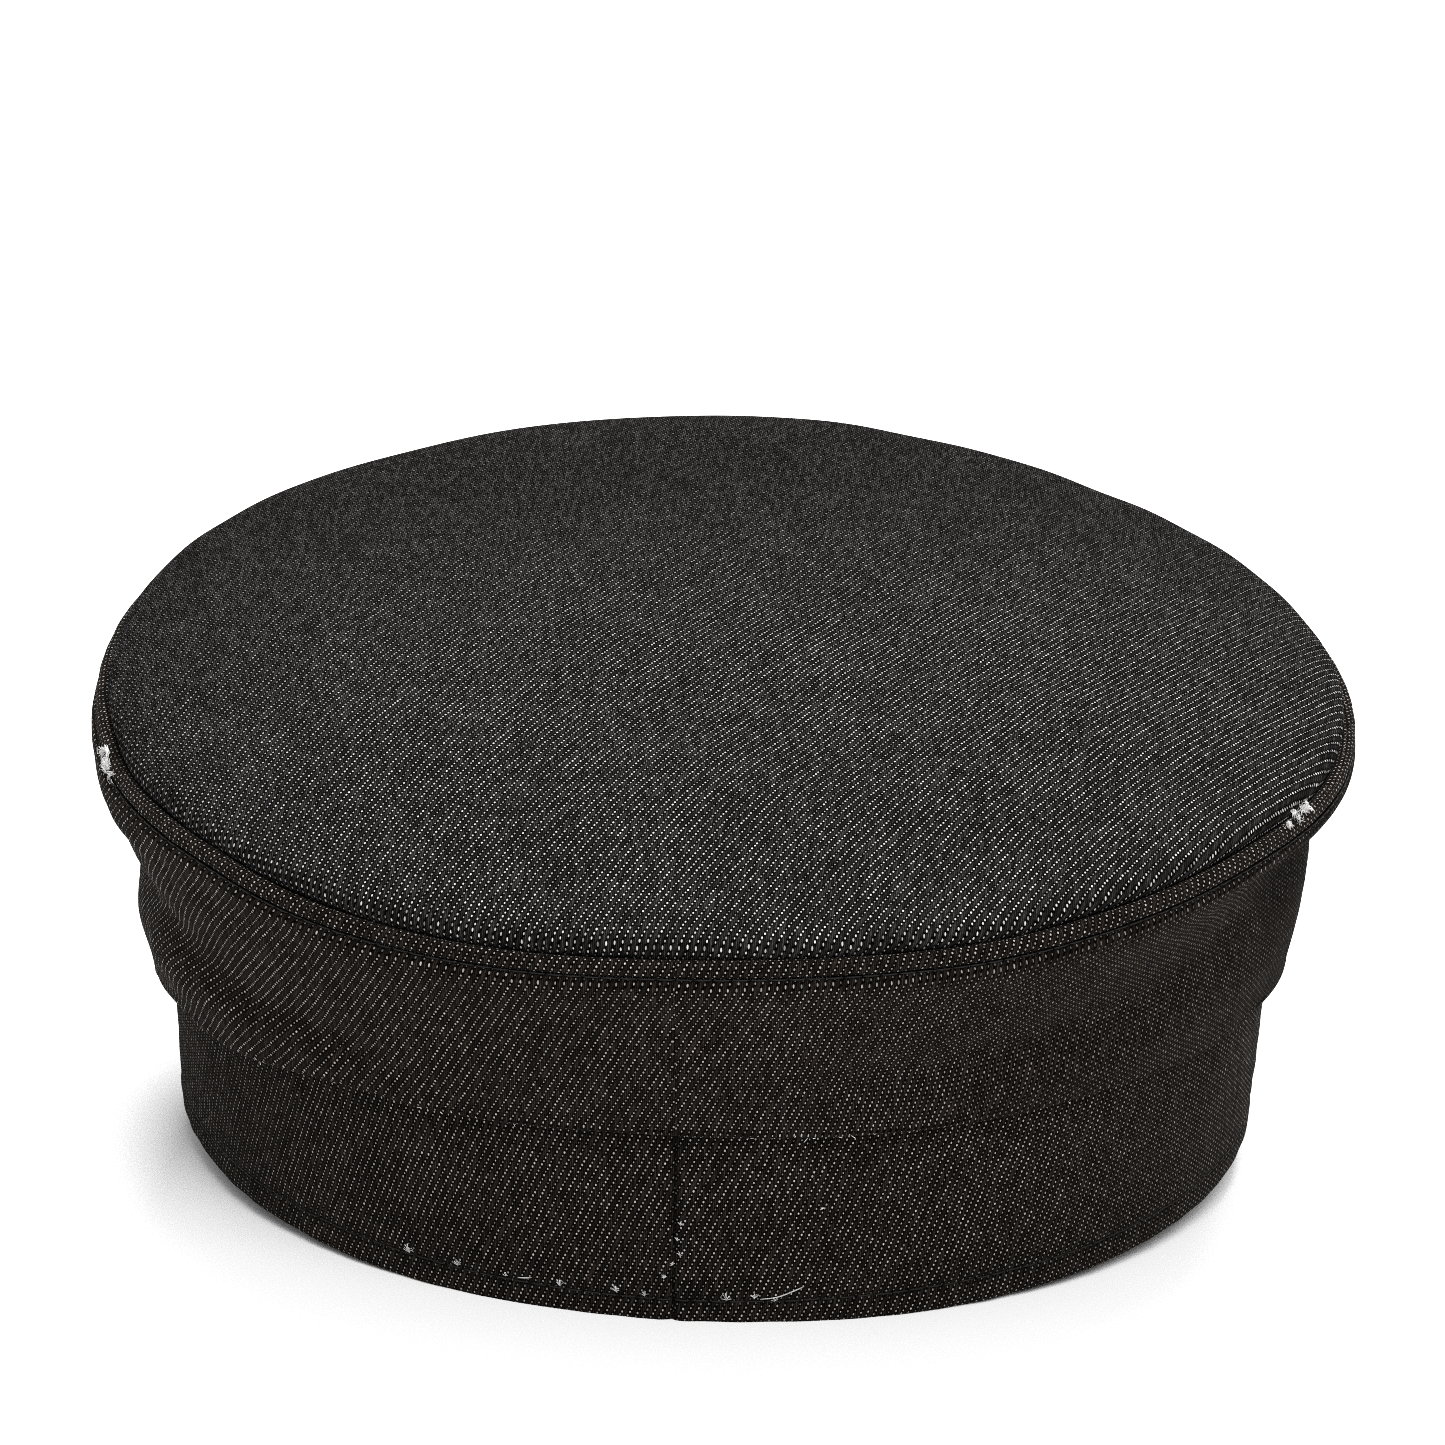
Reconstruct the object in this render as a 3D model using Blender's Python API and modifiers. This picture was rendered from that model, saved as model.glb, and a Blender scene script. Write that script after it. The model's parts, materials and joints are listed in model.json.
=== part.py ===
"""Baker boy hat in black denim: a flat round crown with a rolled edge, a soft side, a band and a peak.

The hat rests on the back of its band and on the front of its peak, which props it a few degrees front up.
Every piece is worked out in the hat's own frame: the band's axis is Z, its lower edge lies at height 0,
and the wearer faces +Y. Angles run from the middle of the back, at -Y, towards +X. An empty then tilts
the whole hat onto the surface that it rests on. Sizes are in metres.
"""

import bpy
import numpy as np
from math import atan, cos, pi, radians, sin, tan, tau

# Driving dimensions
HEAD_GIRTH = 0.563
BAND_WALL = 0.0024
BAND_HEIGHT = 0.043
BAND_FLARE = radians(4.5)
BAND_EDGE_ROUND = 0.0006

SEAM_RADIUS = 0.1060
SEAM_HEIGHT = 0.0764
CROWN_LEAN = radians(2.55)
RIM_SWAY = 0.0013
WELT_HEIGHT = 0.0040
WELT_DEPTH = 0.0032

TOP_WALL = 0.0016
TOP_TUCK = 0.0022
DOME_RISE = 0.0145
DOME_LEAN = 0.0070
DOME_FLATNESS = 2.6
DOME_SHOULDER = 0.65

SIDE_WALL = 0.0011
FOLD_BEND = 0.0008
CREASE_DEPTH = 0.0020
CREASE_RUN_OUT = 0.25
SEAM_CLEAR = 0.17

PEAK_DEPTH = 0.042
PEAK_HALF_ANGLE = radians(62)
PEAK_SLOPE = radians(20)
PEAK_WALL = 0.0026
PEAK_SEAT = 0.0022
PEAK_FULLNESS = 0.75

BACK_SETTLE = 0.0012
PEAK_SETTLE = 0.0004
GAP = 0.0003

# Fineness of the meshes
RING_STEPS = 84
DOME_RINGS = 8
RING_CROWDING = 1.5
FOLD_STEPS = 4
PLY_STEPS = 8
WELT_SIDES = 8
PEAK_STEPS = 36
PEAK_ROWS = 5

# Soft waves in the height of the crown's rim, as shares of RIM_SWAY.
WAVE_COLUMNS = ("order", "cosine", "sine")
RIM_WAVES = (
    (2, 1.00, 1.00),
    (3, -0.20, 0.40),
)

# The side at ten places round the hat. The fold's height is a share of BAND_HEIGHT, its bend a share of
# FOLD_BEND. Low, middle and high say how far the cloth has come out a quarter, half and three quarters
# of the way up from the fold to the welt, as shares of the way out from the fold to the seam.
SIDE_COLUMNS = ("angle", "fold", "bend", "low", "middle", "high")
SIDE_SECTIONS = (
    (-140, 0.74, 1.35, 0.20, 0.45, 0.80),
    (-88, 0.58, 1.96, 0.08, 0.16, 0.75),
    (-60, 0.73, 1.52, 0.15, 0.36, 0.76),
    (-30, 0.82, 1.18, 0.22, 0.46, 0.77),
    (0, 0.87, 1.00, 0.24, 0.50, 0.77),
    (40, 0.85, 1.09, 0.22, 0.45, 0.72),
    (70, 0.80, 1.26, 0.17, 0.32, 0.52),
    (92, 0.66, 1.44, 0.13, 0.24, 0.40),
    (130, 0.76, 1.26, 0.20, 0.45, 0.75),
    (180, 0.82, 1.09, 0.26, 0.54, 0.80),
)

# Creases and ridges in the side, each along a slanting line from one place to another. Heights are shares
# of the way from the fold to the welt, widths too, and depths are shares of CREASE_DEPTH, outward positive.
CREASE_COLUMNS = ("from_angle", "from_height", "to_angle", "to_height", "width", "depth")
CREASES = (
    (-84, 0.56, -30, 0.22, 0.13, -0.80),
    (-70, 0.24, -28, 0.08, 0.12, 0.35),
    (24, 0.34, 66, 0.62, 0.17, -1.00),
    (40, 0.10, 78, 0.26, 0.13, 0.55),
    (-62, 0.90, -38, 0.88, 0.10, -0.45),
    (112, 0.50, 150, 0.30, 0.15, -0.60),
    (-150, 0.36, -112, 0.54, 0.15, -0.60),
)

DENIM_BLACK = (0.012, 0.012, 0.014)
DENIM_BLACK_SIDE = (0.010, 0.009, 0.009)
DENIM_ROUGHNESS = 0.85

# Sizes that follow from the driving ones
BAND_INNER = HEAD_GIRTH / tau
BAND_OUTER = BAND_INNER + BAND_WALL
WELT_CENTRE = (SEAM_RADIUS + WELT_DEPTH / 4, SEAM_HEIGHT - WELT_HEIGHT / 2)
SIDE_TOP = SEAM_HEIGHT - WELT_HEIGHT - GAP
SIDE_TOP_RADIUS = WELT_CENTRE[0] + GAP
TOP_RADIUS = WELT_CENTRE[0] - WELT_DEPTH / 2 - GAP - TOP_WALL / 2
TURN = np.arange(RING_STEPS) * tau / RING_STEPS


def band_face(height):
    """Radius of the band's outer face, which leans outward as it rises."""
    return BAND_OUTER + height * tan(BAND_FLARE)


def crown_lift(angle, radius):
    """How far the crown rises at an angle and a radius, from its lean and the soft waves of its rim."""
    lift = -radius * np.cos(angle) * tan(CROWN_LEAN)
    reach = (radius / SEAM_RADIUS) ** 2
    for row in RIM_WAVES:
        wave = dict(zip(WAVE_COLUMNS, row))
        turn = wave["order"] * angle
        lift = lift + RIM_SWAY * reach * (wave["cosine"] * np.cos(turn) + wave["sine"] * np.sin(turn))
    return lift


def leaned(points):
    """The points of a crown piece, lifted with the crown."""
    radius = np.hypot(points[:, 0], points[:, 1])
    points[:, 2] += crown_lift(np.arctan2(points[:, 0], -points[:, 1]), radius)
    return points


def peak_reach(angle):
    """How far the peak stands out from its seat, a full crescent that ends at its two corners."""
    share = np.clip(np.abs(angle) / PEAK_HALF_ANGLE, 0.0, 1.0)
    return PEAK_SEAT + PEAK_DEPTH * (1.0 - share**2) ** PEAK_FULLNESS


def peak_surface(angle, share):
    """Middle of the peak's board at an angle from the front, a share of the way out from its seat."""
    out = peak_reach(angle) * share
    radius = BAND_OUTER - PEAK_SEAT + out * cos(PEAK_SLOPE) + PEAK_WALL / 2 * sin(PEAK_SLOPE)
    height = -GAP - out * sin(PEAK_SLOPE) - PEAK_WALL / 2 / cos(PEAK_SLOPE)
    return radius * np.sin(angle), radius * np.cos(angle), height


def resting_plane():
    """Slope and height at the axis of the surface the hat rests on, seen in the hat's own frame.

    The plane passes a little above the band's lowest point at the back, where the cloth settles, and
    touches the underside of the peak's outer edge where that hangs lowest.
    """
    angle = np.linspace(-PEAK_HALF_ANGLE, PEAK_HALF_ANGLE, PEAK_STEPS + 1)
    _, y, height = peak_surface(angle, 1.0)
    low = height - PEAK_WALL / 2 + PEAK_SETTLE
    slope = ((low - BACK_SETTLE) / (y + BAND_OUTER)).min()
    return slope, BACK_SETTLE + slope * BAND_OUTER


FLOOR_SLOPE, FLOOR_AT_AXIS = resting_plane()


def settled(points):
    """The points, with those below the resting surface lifted onto it, as cloth flattens there."""
    floor = FLOOR_AT_AXIS + FLOOR_SLOPE * points[:, 1]
    points[:, 2] = np.maximum(points[:, 2], floor)
    return points


def section_value(name, angle):
    """One column of the side's sections, eased smoothly from row to row round the hat."""
    known = np.radians([row[0] for row in SIDE_SECTIONS])
    value = np.array([row[SIDE_COLUMNS.index(name)] for row in SIDE_SECTIONS])
    known = np.append(known, known[0] + tau)
    value = np.append(value, value[0])
    angle = known[0] + (angle - known[0]) % tau
    after = np.clip(np.searchsorted(known, angle, side="right"), 1, len(known) - 1)
    share = (angle - known[after - 1]) / (known[after] - known[after - 1])
    ease = 0.5 - 0.5 * np.cos(pi * share)
    return value[after - 1] * (1.0 - ease) + value[after] * ease


def smooth_through(values, share):
    """A curve through evenly spaced values, read at a share of its length.

    Each stretch is a cubic, whose slope at a value is half the step between that value's neighbours.
    """
    last = len(values) - 1
    index = min(int(share * last), last - 1)
    before, start, end, after = (values[min(max(index + step, 0), last)] for step in (-1, 0, 1, 2))
    part = share * last - index
    return (start * (2 * part**3 - 3 * part**2 + 1) + (end - before) / 2 * (part**3 - 2 * part**2 + part)
            + end * (3 * part**2 - 2 * part**3) + (after - start) / 2 * (part**3 - part**2))


def crease_offset(angle, height):
    """How far the creases and ridges move the side outward at each angle, at a share of its height.

    Each is a bell across its slanting line that fades out over a stretch round either end, and all of
    them fade out just under the seam.
    """
    offset = np.zeros_like(angle)
    for row in CREASES:
        crease = dict(zip(CREASE_COLUMNS, row))
        start, end = radians(crease["from_angle"]), radians(crease["to_angle"])
        turn = (angle - (start + end) / 2 + pi) % tau - pi
        along = turn / ((end - start) / 2)
        line = crease["from_height"] + (crease["to_height"] - crease["from_height"]) * (along + 1) / 2
        across = (height - line) / crease["width"]
        fade = np.clip((1.0 + CREASE_RUN_OUT - np.abs(along)) / (2 * CREASE_RUN_OUT), 0.0, 1.0)
        offset += crease["depth"] * CREASE_DEPTH * np.exp(-across**2) * fade**2 * (3 - 2 * fade)
    return offset * min(1.0, (1.0 - height) / SEAM_CLEAR)


def side_profile(angle):
    """Middle line of the side's cloth at each angle, as radii and heights from its seam to the welt.

    It lies on the band's top edge, turns down the band's outer face, turns back up in the fold, and
    from there leans out to the welt through the table's quarter points.
    """
    half = SIDE_WALL / 2
    section = {name: section_value(name, angle) for name in SIDE_COLUMNS[1:]}
    bend = section["bend"] * FOLD_BEND
    turn_height = section["fold"] * BAND_HEIGHT + half + bend
    inner = band_face(turn_height) + GAP + half
    seat = BAND_HEIGHT + GAP + half
    corner = band_face(BAND_HEIGHT) + GAP + half
    level = np.zeros_like(angle)
    profile = [(level + BAND_INNER + BAND_WALL / 2, level + seat),
               (level + corner - SIDE_WALL, level + seat),
               (level + corner, level + seat - SIDE_WALL)]
    for swing in np.linspace(0.0, pi, FOLD_STEPS + 1):
        profile.append((inner + bend * (1.0 - cos(swing)), turn_height - bend * sin(swing)))
    fold_radius = inner + 2 * bend
    top = SIDE_TOP + crown_lift(angle, SIDE_TOP_RADIUS)
    quarters = (0.0, section["low"], section["middle"], section["high"], 1.0)
    for share in np.linspace(0.0, 1.0, PLY_STEPS + 1)[1:]:
        radius = fold_radius + (SIDE_TOP_RADIUS - fold_radius) * smooth_through(quarters, share)
        profile.append((radius + crease_offset(angle, share), turn_height + (top - turn_height) * share))
    radii, heights = zip(*profile)
    return np.stack(radii, axis=1), np.stack(heights, axis=1)


def denim(name, colour):
    """A plain rough black cloth."""
    material = bpy.data.materials.new(name)
    material.use_nodes = True
    shader = material.node_tree.nodes["Principled BSDF"]
    shader.inputs["Base Color"].default_value = (*colour, 1.0)
    shader.inputs["Roughness"].default_value = DENIM_ROUGHNESS
    shader.inputs["Metallic"].default_value = 0.0
    return material


def new_piece(name, points, edges, faces, material):
    """A new object in the hat's collection, hung on the empty that tilts the hat."""
    mesh = bpy.data.meshes.new(name)
    mesh.from_pydata(np.asarray(points).tolist(), edges, faces)
    mesh.materials.append(material)
    piece = bpy.data.objects.new(name, mesh)
    piece.parent = hat
    collection.objects.link(piece)
    return piece


def sheet(name, points, closed, material):
    """A sheet over rows of points, joined end to end round the hat where it is closed."""
    rows, columns = points.shape[:2]
    faces = []
    for row in range(rows if closed else rows - 1):
        here, below = row * columns, (row + 1) % rows * columns
        for column in range(columns - 1):
            faces.append((here + column, here + column + 1, below + column + 1, below + column))
    return new_piece(name, points.reshape(-1, 3), [], faces, material)


def turned(name, profile, closed, material):
    """A full ring turned from a profile of radii and heights that runs down its outer side."""
    count = len(profile)
    edges = [(i, (i + 1) % count) for i in range(count if closed else count - 1)]
    piece = new_piece(name, [(radius, 0.0, height) for radius, height in profile], edges, [], material)
    screw = piece.modifiers.new("Turned", "SCREW")
    screw.steps = screw.render_steps = RING_STEPS
    screw.use_merge_vertices = True
    screw.merge_threshold = 0.00005
    screw.use_normal_calculate = False
    return piece


def walled(piece, wall):
    """Give an open sheet its wall, half of it on either side."""
    solid = piece.modifiers.new("Wall", "SOLIDIFY")
    solid.thickness = wall
    solid.offset = 0.0
    solid.use_even_offset = True
    return piece


def applied(piece, shape):
    """Apply the piece's modifiers and pass its points through a function of their places."""
    graph = bpy.context.evaluated_depsgraph_get()
    mesh = bpy.data.meshes.new_from_object(piece.evaluated_get(graph))
    flat = np.empty(len(mesh.vertices) * 3, dtype=np.float32)
    mesh.vertices.foreach_get("co", flat)
    moved = shape(flat.reshape(-1, 3).astype(float))
    mesh.vertices.foreach_set("co", moved.astype(np.float32).ravel())
    mesh.update()
    old = piece.data
    piece.modifiers.clear()
    piece.data = mesh
    bpy.data.meshes.remove(old)
    mesh.name = piece.name
    return piece


def make_band():
    """The plain band, a turned wall that leans outward, flat where its lower edge rests at the back."""
    cut = BAND_EDGE_ROUND
    rise = BAND_HEIGHT - cut
    profile = (
        (band_face(BAND_HEIGHT) - cut, BAND_HEIGHT),
        (band_face(rise), rise),
        (band_face(cut), cut),
        (band_face(0.0) - cut, 0.0),
        (band_face(0.0) - BAND_WALL + cut, 0.0),
        (band_face(cut) - BAND_WALL, cut),
        (band_face(rise) - BAND_WALL, rise),
        (band_face(BAND_HEIGHT) - BAND_WALL + cut, BAND_HEIGHT),
    )
    return applied(turned("band", profile, True, side_denim), settled)


def make_side():
    """The soft side, a sheet sewn on the band's top edge that folds down over it and leans out above."""
    radii, heights = side_profile(TURN)
    turn = TURN[:, None]
    points = np.stack([radii * np.sin(turn), -radii * np.cos(turn), heights], axis=2)
    return walled(sheet("crown_side", points, True, side_denim), SIDE_WALL)


def make_welt():
    """The rolled edge between the side and the top, an oval cord of cloth turned into a ring."""
    swing = -np.arange(WELT_SIDES) * tau / WELT_SIDES
    radii = WELT_CENTRE[0] + WELT_DEPTH / 2 * np.cos(swing)
    heights = WELT_CENTRE[1] + WELT_HEIGHT / 2 * np.sin(swing)
    return applied(turned("crown_welt", list(zip(radii, heights)), True, side_denim), leaned)


def domed(points):
    """The top's points, with the dome's highest place drawn towards the back, lifted with the crown."""
    reach = np.hypot(points[:, 0], points[:, 1]) / TOP_RADIUS
    points[:, 2] -= DOME_LEAN * points[:, 1] / TOP_RADIUS * np.clip(1.0 - reach**2, 0.0, 1.0)
    return leaned(points)


def make_top():
    """The round top, a turned sheet that domes softly and drops steeply to its seam."""
    share = (1.0 - (np.arange(DOME_RINGS + 1) / DOME_RINGS) ** RING_CROWDING)[::-1]
    heights = SEAM_HEIGHT + DOME_RISE * (1.0 - share**DOME_FLATNESS) ** DOME_SHOULDER
    profile = list(zip(TOP_RADIUS * share, heights))
    profile.append((TOP_RADIUS, SEAM_HEIGHT - TOP_TUCK))
    return walled(applied(turned("crown_top", profile, False, top_denim), domed), TOP_WALL)


def make_peak():
    """The stiff peak, a cone-shaped crescent under the band's front edge, which rests on its outer edge."""
    angle = np.linspace(-PEAK_HALF_ANGLE, PEAK_HALF_ANGLE, PEAK_STEPS + 1)[:, None]
    share = np.linspace(0.0, 1.0, PEAK_ROWS)[None, :]
    x, y, height = peak_surface(angle, share)
    points = np.stack(np.broadcast_arrays(x, y, height), axis=2)
    return applied(walled(sheet("peak", points, False, side_denim), PEAK_WALL), settled)


def set_down(pieces):
    """Tilt the hat onto its surface, with the middle of its box over the origin."""
    hat.rotation_euler = (-atan(FLOOR_SLOPE), 0.0, 0.0)
    bpy.context.view_layer.update()
    graph = bpy.context.evaluated_depsgraph_get()
    corners = []
    for piece in pieces:
        mesh = piece.evaluated_get(graph).to_mesh()
        flat = np.empty(len(mesh.vertices) * 3, dtype=np.float32)
        mesh.vertices.foreach_get("co", flat)
        place = np.array(piece.matrix_world)
        corners.append(flat.reshape(-1, 3) @ place[:3, :3].T + place[:3, 3])
    corners = np.concatenate(corners)
    low, high = corners.min(axis=0), corners.max(axis=0)
    hat.location = (-(low[0] + high[0]) / 2, -(low[1] + high[1]) / 2, -low[2])


for old in list(bpy.data.objects):
    bpy.data.objects.remove(old, do_unlink=True)

collection = bpy.data.collections.new("baker_boy_hat")
bpy.context.scene.collection.children.link(collection)
hat = bpy.data.objects.new("hat_on_its_surface", None)
collection.objects.link(hat)

top_denim = denim("black_denim_top", DENIM_BLACK)
side_denim = denim("black_denim_side", DENIM_BLACK_SIDE)

parts = [make_band(), make_side(), make_welt(), make_top(), make_peak()]
for part in parts:
    part.data.shade_smooth()
set_down(parts)
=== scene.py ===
import json
import math

import bmesh
import bpy
import numpy as np
from mathutils import Matrix, Vector


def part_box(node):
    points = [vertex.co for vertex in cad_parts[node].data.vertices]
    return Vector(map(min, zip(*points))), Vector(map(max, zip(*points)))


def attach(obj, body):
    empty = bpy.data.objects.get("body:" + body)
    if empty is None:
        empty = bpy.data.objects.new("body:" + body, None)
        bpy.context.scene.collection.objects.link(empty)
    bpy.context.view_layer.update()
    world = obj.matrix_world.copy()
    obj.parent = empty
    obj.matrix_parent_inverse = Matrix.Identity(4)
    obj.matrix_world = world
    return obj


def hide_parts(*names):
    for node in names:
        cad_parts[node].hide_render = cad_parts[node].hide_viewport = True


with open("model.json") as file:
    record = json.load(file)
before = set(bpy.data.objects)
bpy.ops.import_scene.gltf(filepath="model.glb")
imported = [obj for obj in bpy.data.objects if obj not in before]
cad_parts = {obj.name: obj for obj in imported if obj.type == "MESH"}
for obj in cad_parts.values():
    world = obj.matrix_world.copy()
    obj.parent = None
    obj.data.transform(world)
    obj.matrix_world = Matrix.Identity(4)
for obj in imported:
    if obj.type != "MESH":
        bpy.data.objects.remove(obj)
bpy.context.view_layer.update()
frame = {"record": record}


# The hat as it rests. It lies on the back of its band and on the edge of its peak, which tips its front
# up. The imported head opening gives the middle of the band's lower edge and the band's own axis, and
# every piece is worked out round that axis first. Angles run from the middle of the back towards +X.
opening = next(mount for mount in frame["record"]["mounts"] if mount["name"] == "head_opening")
HAT_PLACE = np.array(opening["pos_m"])
HAT_UP = -np.array(opening["axis"])
HAT_FRONT = np.array([0.0, HAT_UP[2], -HAT_UP[1]])

# Finer rows of points lie at these distances on either side of a seam.
SEAM_ROWS = np.array([0.25, 0.5, 0.8, 1.2, 1.8, 2.6]) / 1000

# At a pole or a tip, points no further apart than this are merged.
SAME_POINT = 0.0000002


def in_place(points):
    """Points round the hat's own axis, turned and moved to where the hat rests, and never under the floor."""
    placed = points @ np.array([[1.0, 0.0, 0.0], HAT_FRONT, HAT_UP]) + HAT_PLACE
    placed[..., 2] = np.maximum(placed[..., 2], 0.0)
    return placed


def round_axis(angle, radius, height):
    """Points at an angle from the back, a radius and a height: x = r sin a, y = -r cos a, z = h."""
    return np.stack(np.broadcast_arrays(radius * np.sin(angle), -radius * np.cos(angle), height), axis=-1)


def bell(distance, width):
    """A smooth hump of height 1 and that half width: e to the power of minus the square of their ratio."""
    return np.exp(-(distance / width) ** 2)


def eased(value, low, high):
    """0 below low and 1 above high, with a smooth cubic step between."""
    share = np.clip((value - low) / (high - low), 0.0, 1.0)
    return share * share * (3.0 - 2.0 * share)


def ripples(across, along, count, shortest, longest, seed):
    """Soft random unevenness, mostly from -1 to 1.

    It is the sum of plane waves of random direction, length and phase, over the root of their number.
    """
    pick = np.random.default_rng(seed)
    total = np.zeros(np.broadcast(across, along).shape)
    for _ in range(count):
        length = shortest * (longest / shortest) ** pick.random()
        direction, phase = pick.random(2) * math.tau
        wave = across * math.cos(direction) + along * math.sin(direction)
        total += np.sin(math.tau * wave / length + phase)
    return total / count ** 0.5


def ring_angles(count, seam, radius):
    """Angles once round the hat from a seam, evenly spaced, with finer ones beside the seam."""
    even = np.arange(count) * math.tau / count
    beside = np.concatenate([-SEAM_ROWS[::-1], [0.0], SEAM_ROWS]) / radius
    angles = np.unique(np.round(np.concatenate([even, beside % math.tau]), 9))
    return np.append(angles, math.tau) + seam


def new_piece(name, mesh, materials):
    """A smoothly shaded piece from its mesh."""
    mesh.shade_smooth()
    for material in materials:
        mesh.materials.append(material)
    piece = bpy.data.objects.new(name, mesh)
    bpy.context.scene.collection.objects.link(piece)
    return piece


def cloth_mesh(name, points, weave, painted_shade, closed, materials):
    """A mesh over a grid of points, with each corner's place in the flat cloth as its UV, in metres.

    Rows run round the hat and columns down its outer side, so that the faces point outwards. In a grid
    closed along its rows the last row lies on the first, and only the weave tells them apart. The
    columns of a grid closed along them end on their first point in the same way. Painted shade says from
    0 to 1 how much shade is painted on the cloth at a point: in seams, grooves and under folds, and on
    the flanks.
    """
    rows, columns = points.shape[:2]
    row, column = np.meshgrid(np.arange(rows - 1), np.arange(columns - 1), indexing="ij")
    corners = [(row, column), (row, column + 1), (row + 1, column + 1), (row + 1, column)]
    round_rows = rows - 1 if "rows" in closed else rows
    round_columns = columns - 1 if "columns" in closed else columns
    faces = np.stack([(r % round_rows) * round_columns + c % round_columns for r, c in corners], axis=-1)
    places = np.stack([weave[r, c] for r, c in corners], axis=-2)
    mesh = bpy.data.meshes.new(name)
    kept = in_place(points[:round_rows, :round_columns].reshape(-1, 3))
    mesh.from_pydata(kept.tolist(), [], faces.reshape(-1, 4).tolist())
    layer = mesh.uv_layers.new(name="weave")
    layer.uv.foreach_set("vector", places.astype(np.float32).ravel())
    # How much painted shade each kept point carries.
    depth = np.broadcast_to(painted_shade, (rows, columns))[:round_rows, :round_columns]
    attribute = mesh.attributes.new("painted_shade", "FLOAT", "POINT")
    attribute.data.foreach_set("value", depth.astype(np.float32).ravel())
    return new_piece(name, mesh, materials)


def closed_poles(piece):
    """Merge the points that lie on each other at a pole or a tip, so that the faces round it meet there."""
    shape = bmesh.new()
    shape.from_mesh(piece.data)
    bmesh.ops.remove_doubles(shape, verts=shape.verts, dist=SAME_POINT)
    shape.to_mesh(piece.data)
    shape.free()
    return piece


def walled(piece, wall):
    """Give a sheet its wall, half on either side of it, with the cloth's reverse on the inner side."""
    solid = piece.modifiers.new("Wall", "SOLIDIFY")
    solid.thickness = wall
    solid.offset = 0.0
    solid.use_even_offset = True
    solid.material_offset = 1
    solid.material_offset_rim = 0
    return piece


# Black denim, a three and one twill. Black warp threads lie close together up the cloth and float over
# three white weft threads at a time, and each pass under the fourth lets a fleck of white show. The
# flecks climb to the right by one warp for each weft. The reverse shows the white weft far more.
WARP_PITCH = 0.000332
WEFT_PITCH = 0.00070
TWILL_STEP = 4.0
FLECK_HALF_WIDTH = 0.48
FLECK_HALF_HEIGHT = 0.32
FLECK_EDGE = 2.2
FLECK_RELIEF = 0.6
FLOAT_START = 0.125
FLOAT_FULLNESS = 1.1
THREAD_WANDER = 0.25
THREAD_RELIEF = 0.00010
RELIEF_STRENGTH = 0.6
GAP_SHADE = 0.03
CREAM = (1.0, 0.975, 0.94)
# The painted fade: away from a place on the top the flecks fade, which paints shade on its far and left part,
# and the ground grows paler, a painted haze. The first widens the fade across the warp, the second greys the
# ground.
PAINTED_FADE_WIDENING = 0.5
PAINTED_HAZE = 0.5
DENIM_ROUGHNESS = 0.85
DENIM_GLOSS = 0.002
FUZZ_ROUGHNESS = 0.5
FUZZ_TINT = (1.0, 0.88, 0.78, 1.0)

# How closely the noises lie: humps to the metre, and for the streaks and hairs, humps to a thread.
WANDER_SCALE = 90.0
PATCH_SCALE = 70.0
STREAK_ACROSS_WARP = 0.35
STREAK_ACROSS_WEFT = 0.45
STREAK_ALONG = 0.02
HAIR_SCALE = 2.3

# What chance does to the threads: the least that it gives, and how much it may add.
FLECK_SHIFTS = (-0.25, 0.5)
FLECK_SIZES = (0.6, 0.6)
FLECK_STRENGTHS = (0.45, 1.15)
FLECK_STREAKS = (0.55, 0.9)
FLECK_PATCHES = (0.7, 0.6)
WARP_SHADES = (0.65, 1.6)
WARP_HAIRS = (0.4, 5.0)
WARP_PATCHES = (0.9, 1.2)

# Ramps: the values that each starts and ends at, and what the warp's shade is multiplied by there. The
# first paints shade in the valleys beside the flecks, the second the shade of seams, grooves, folds and
# flanks.
VALLEY_RAMP = (0.8, 2.6, 0.05, 1.0)
PAINTED_SHADE_RAMP = (0.6, 1.0, 1.0, 0.15)


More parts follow.
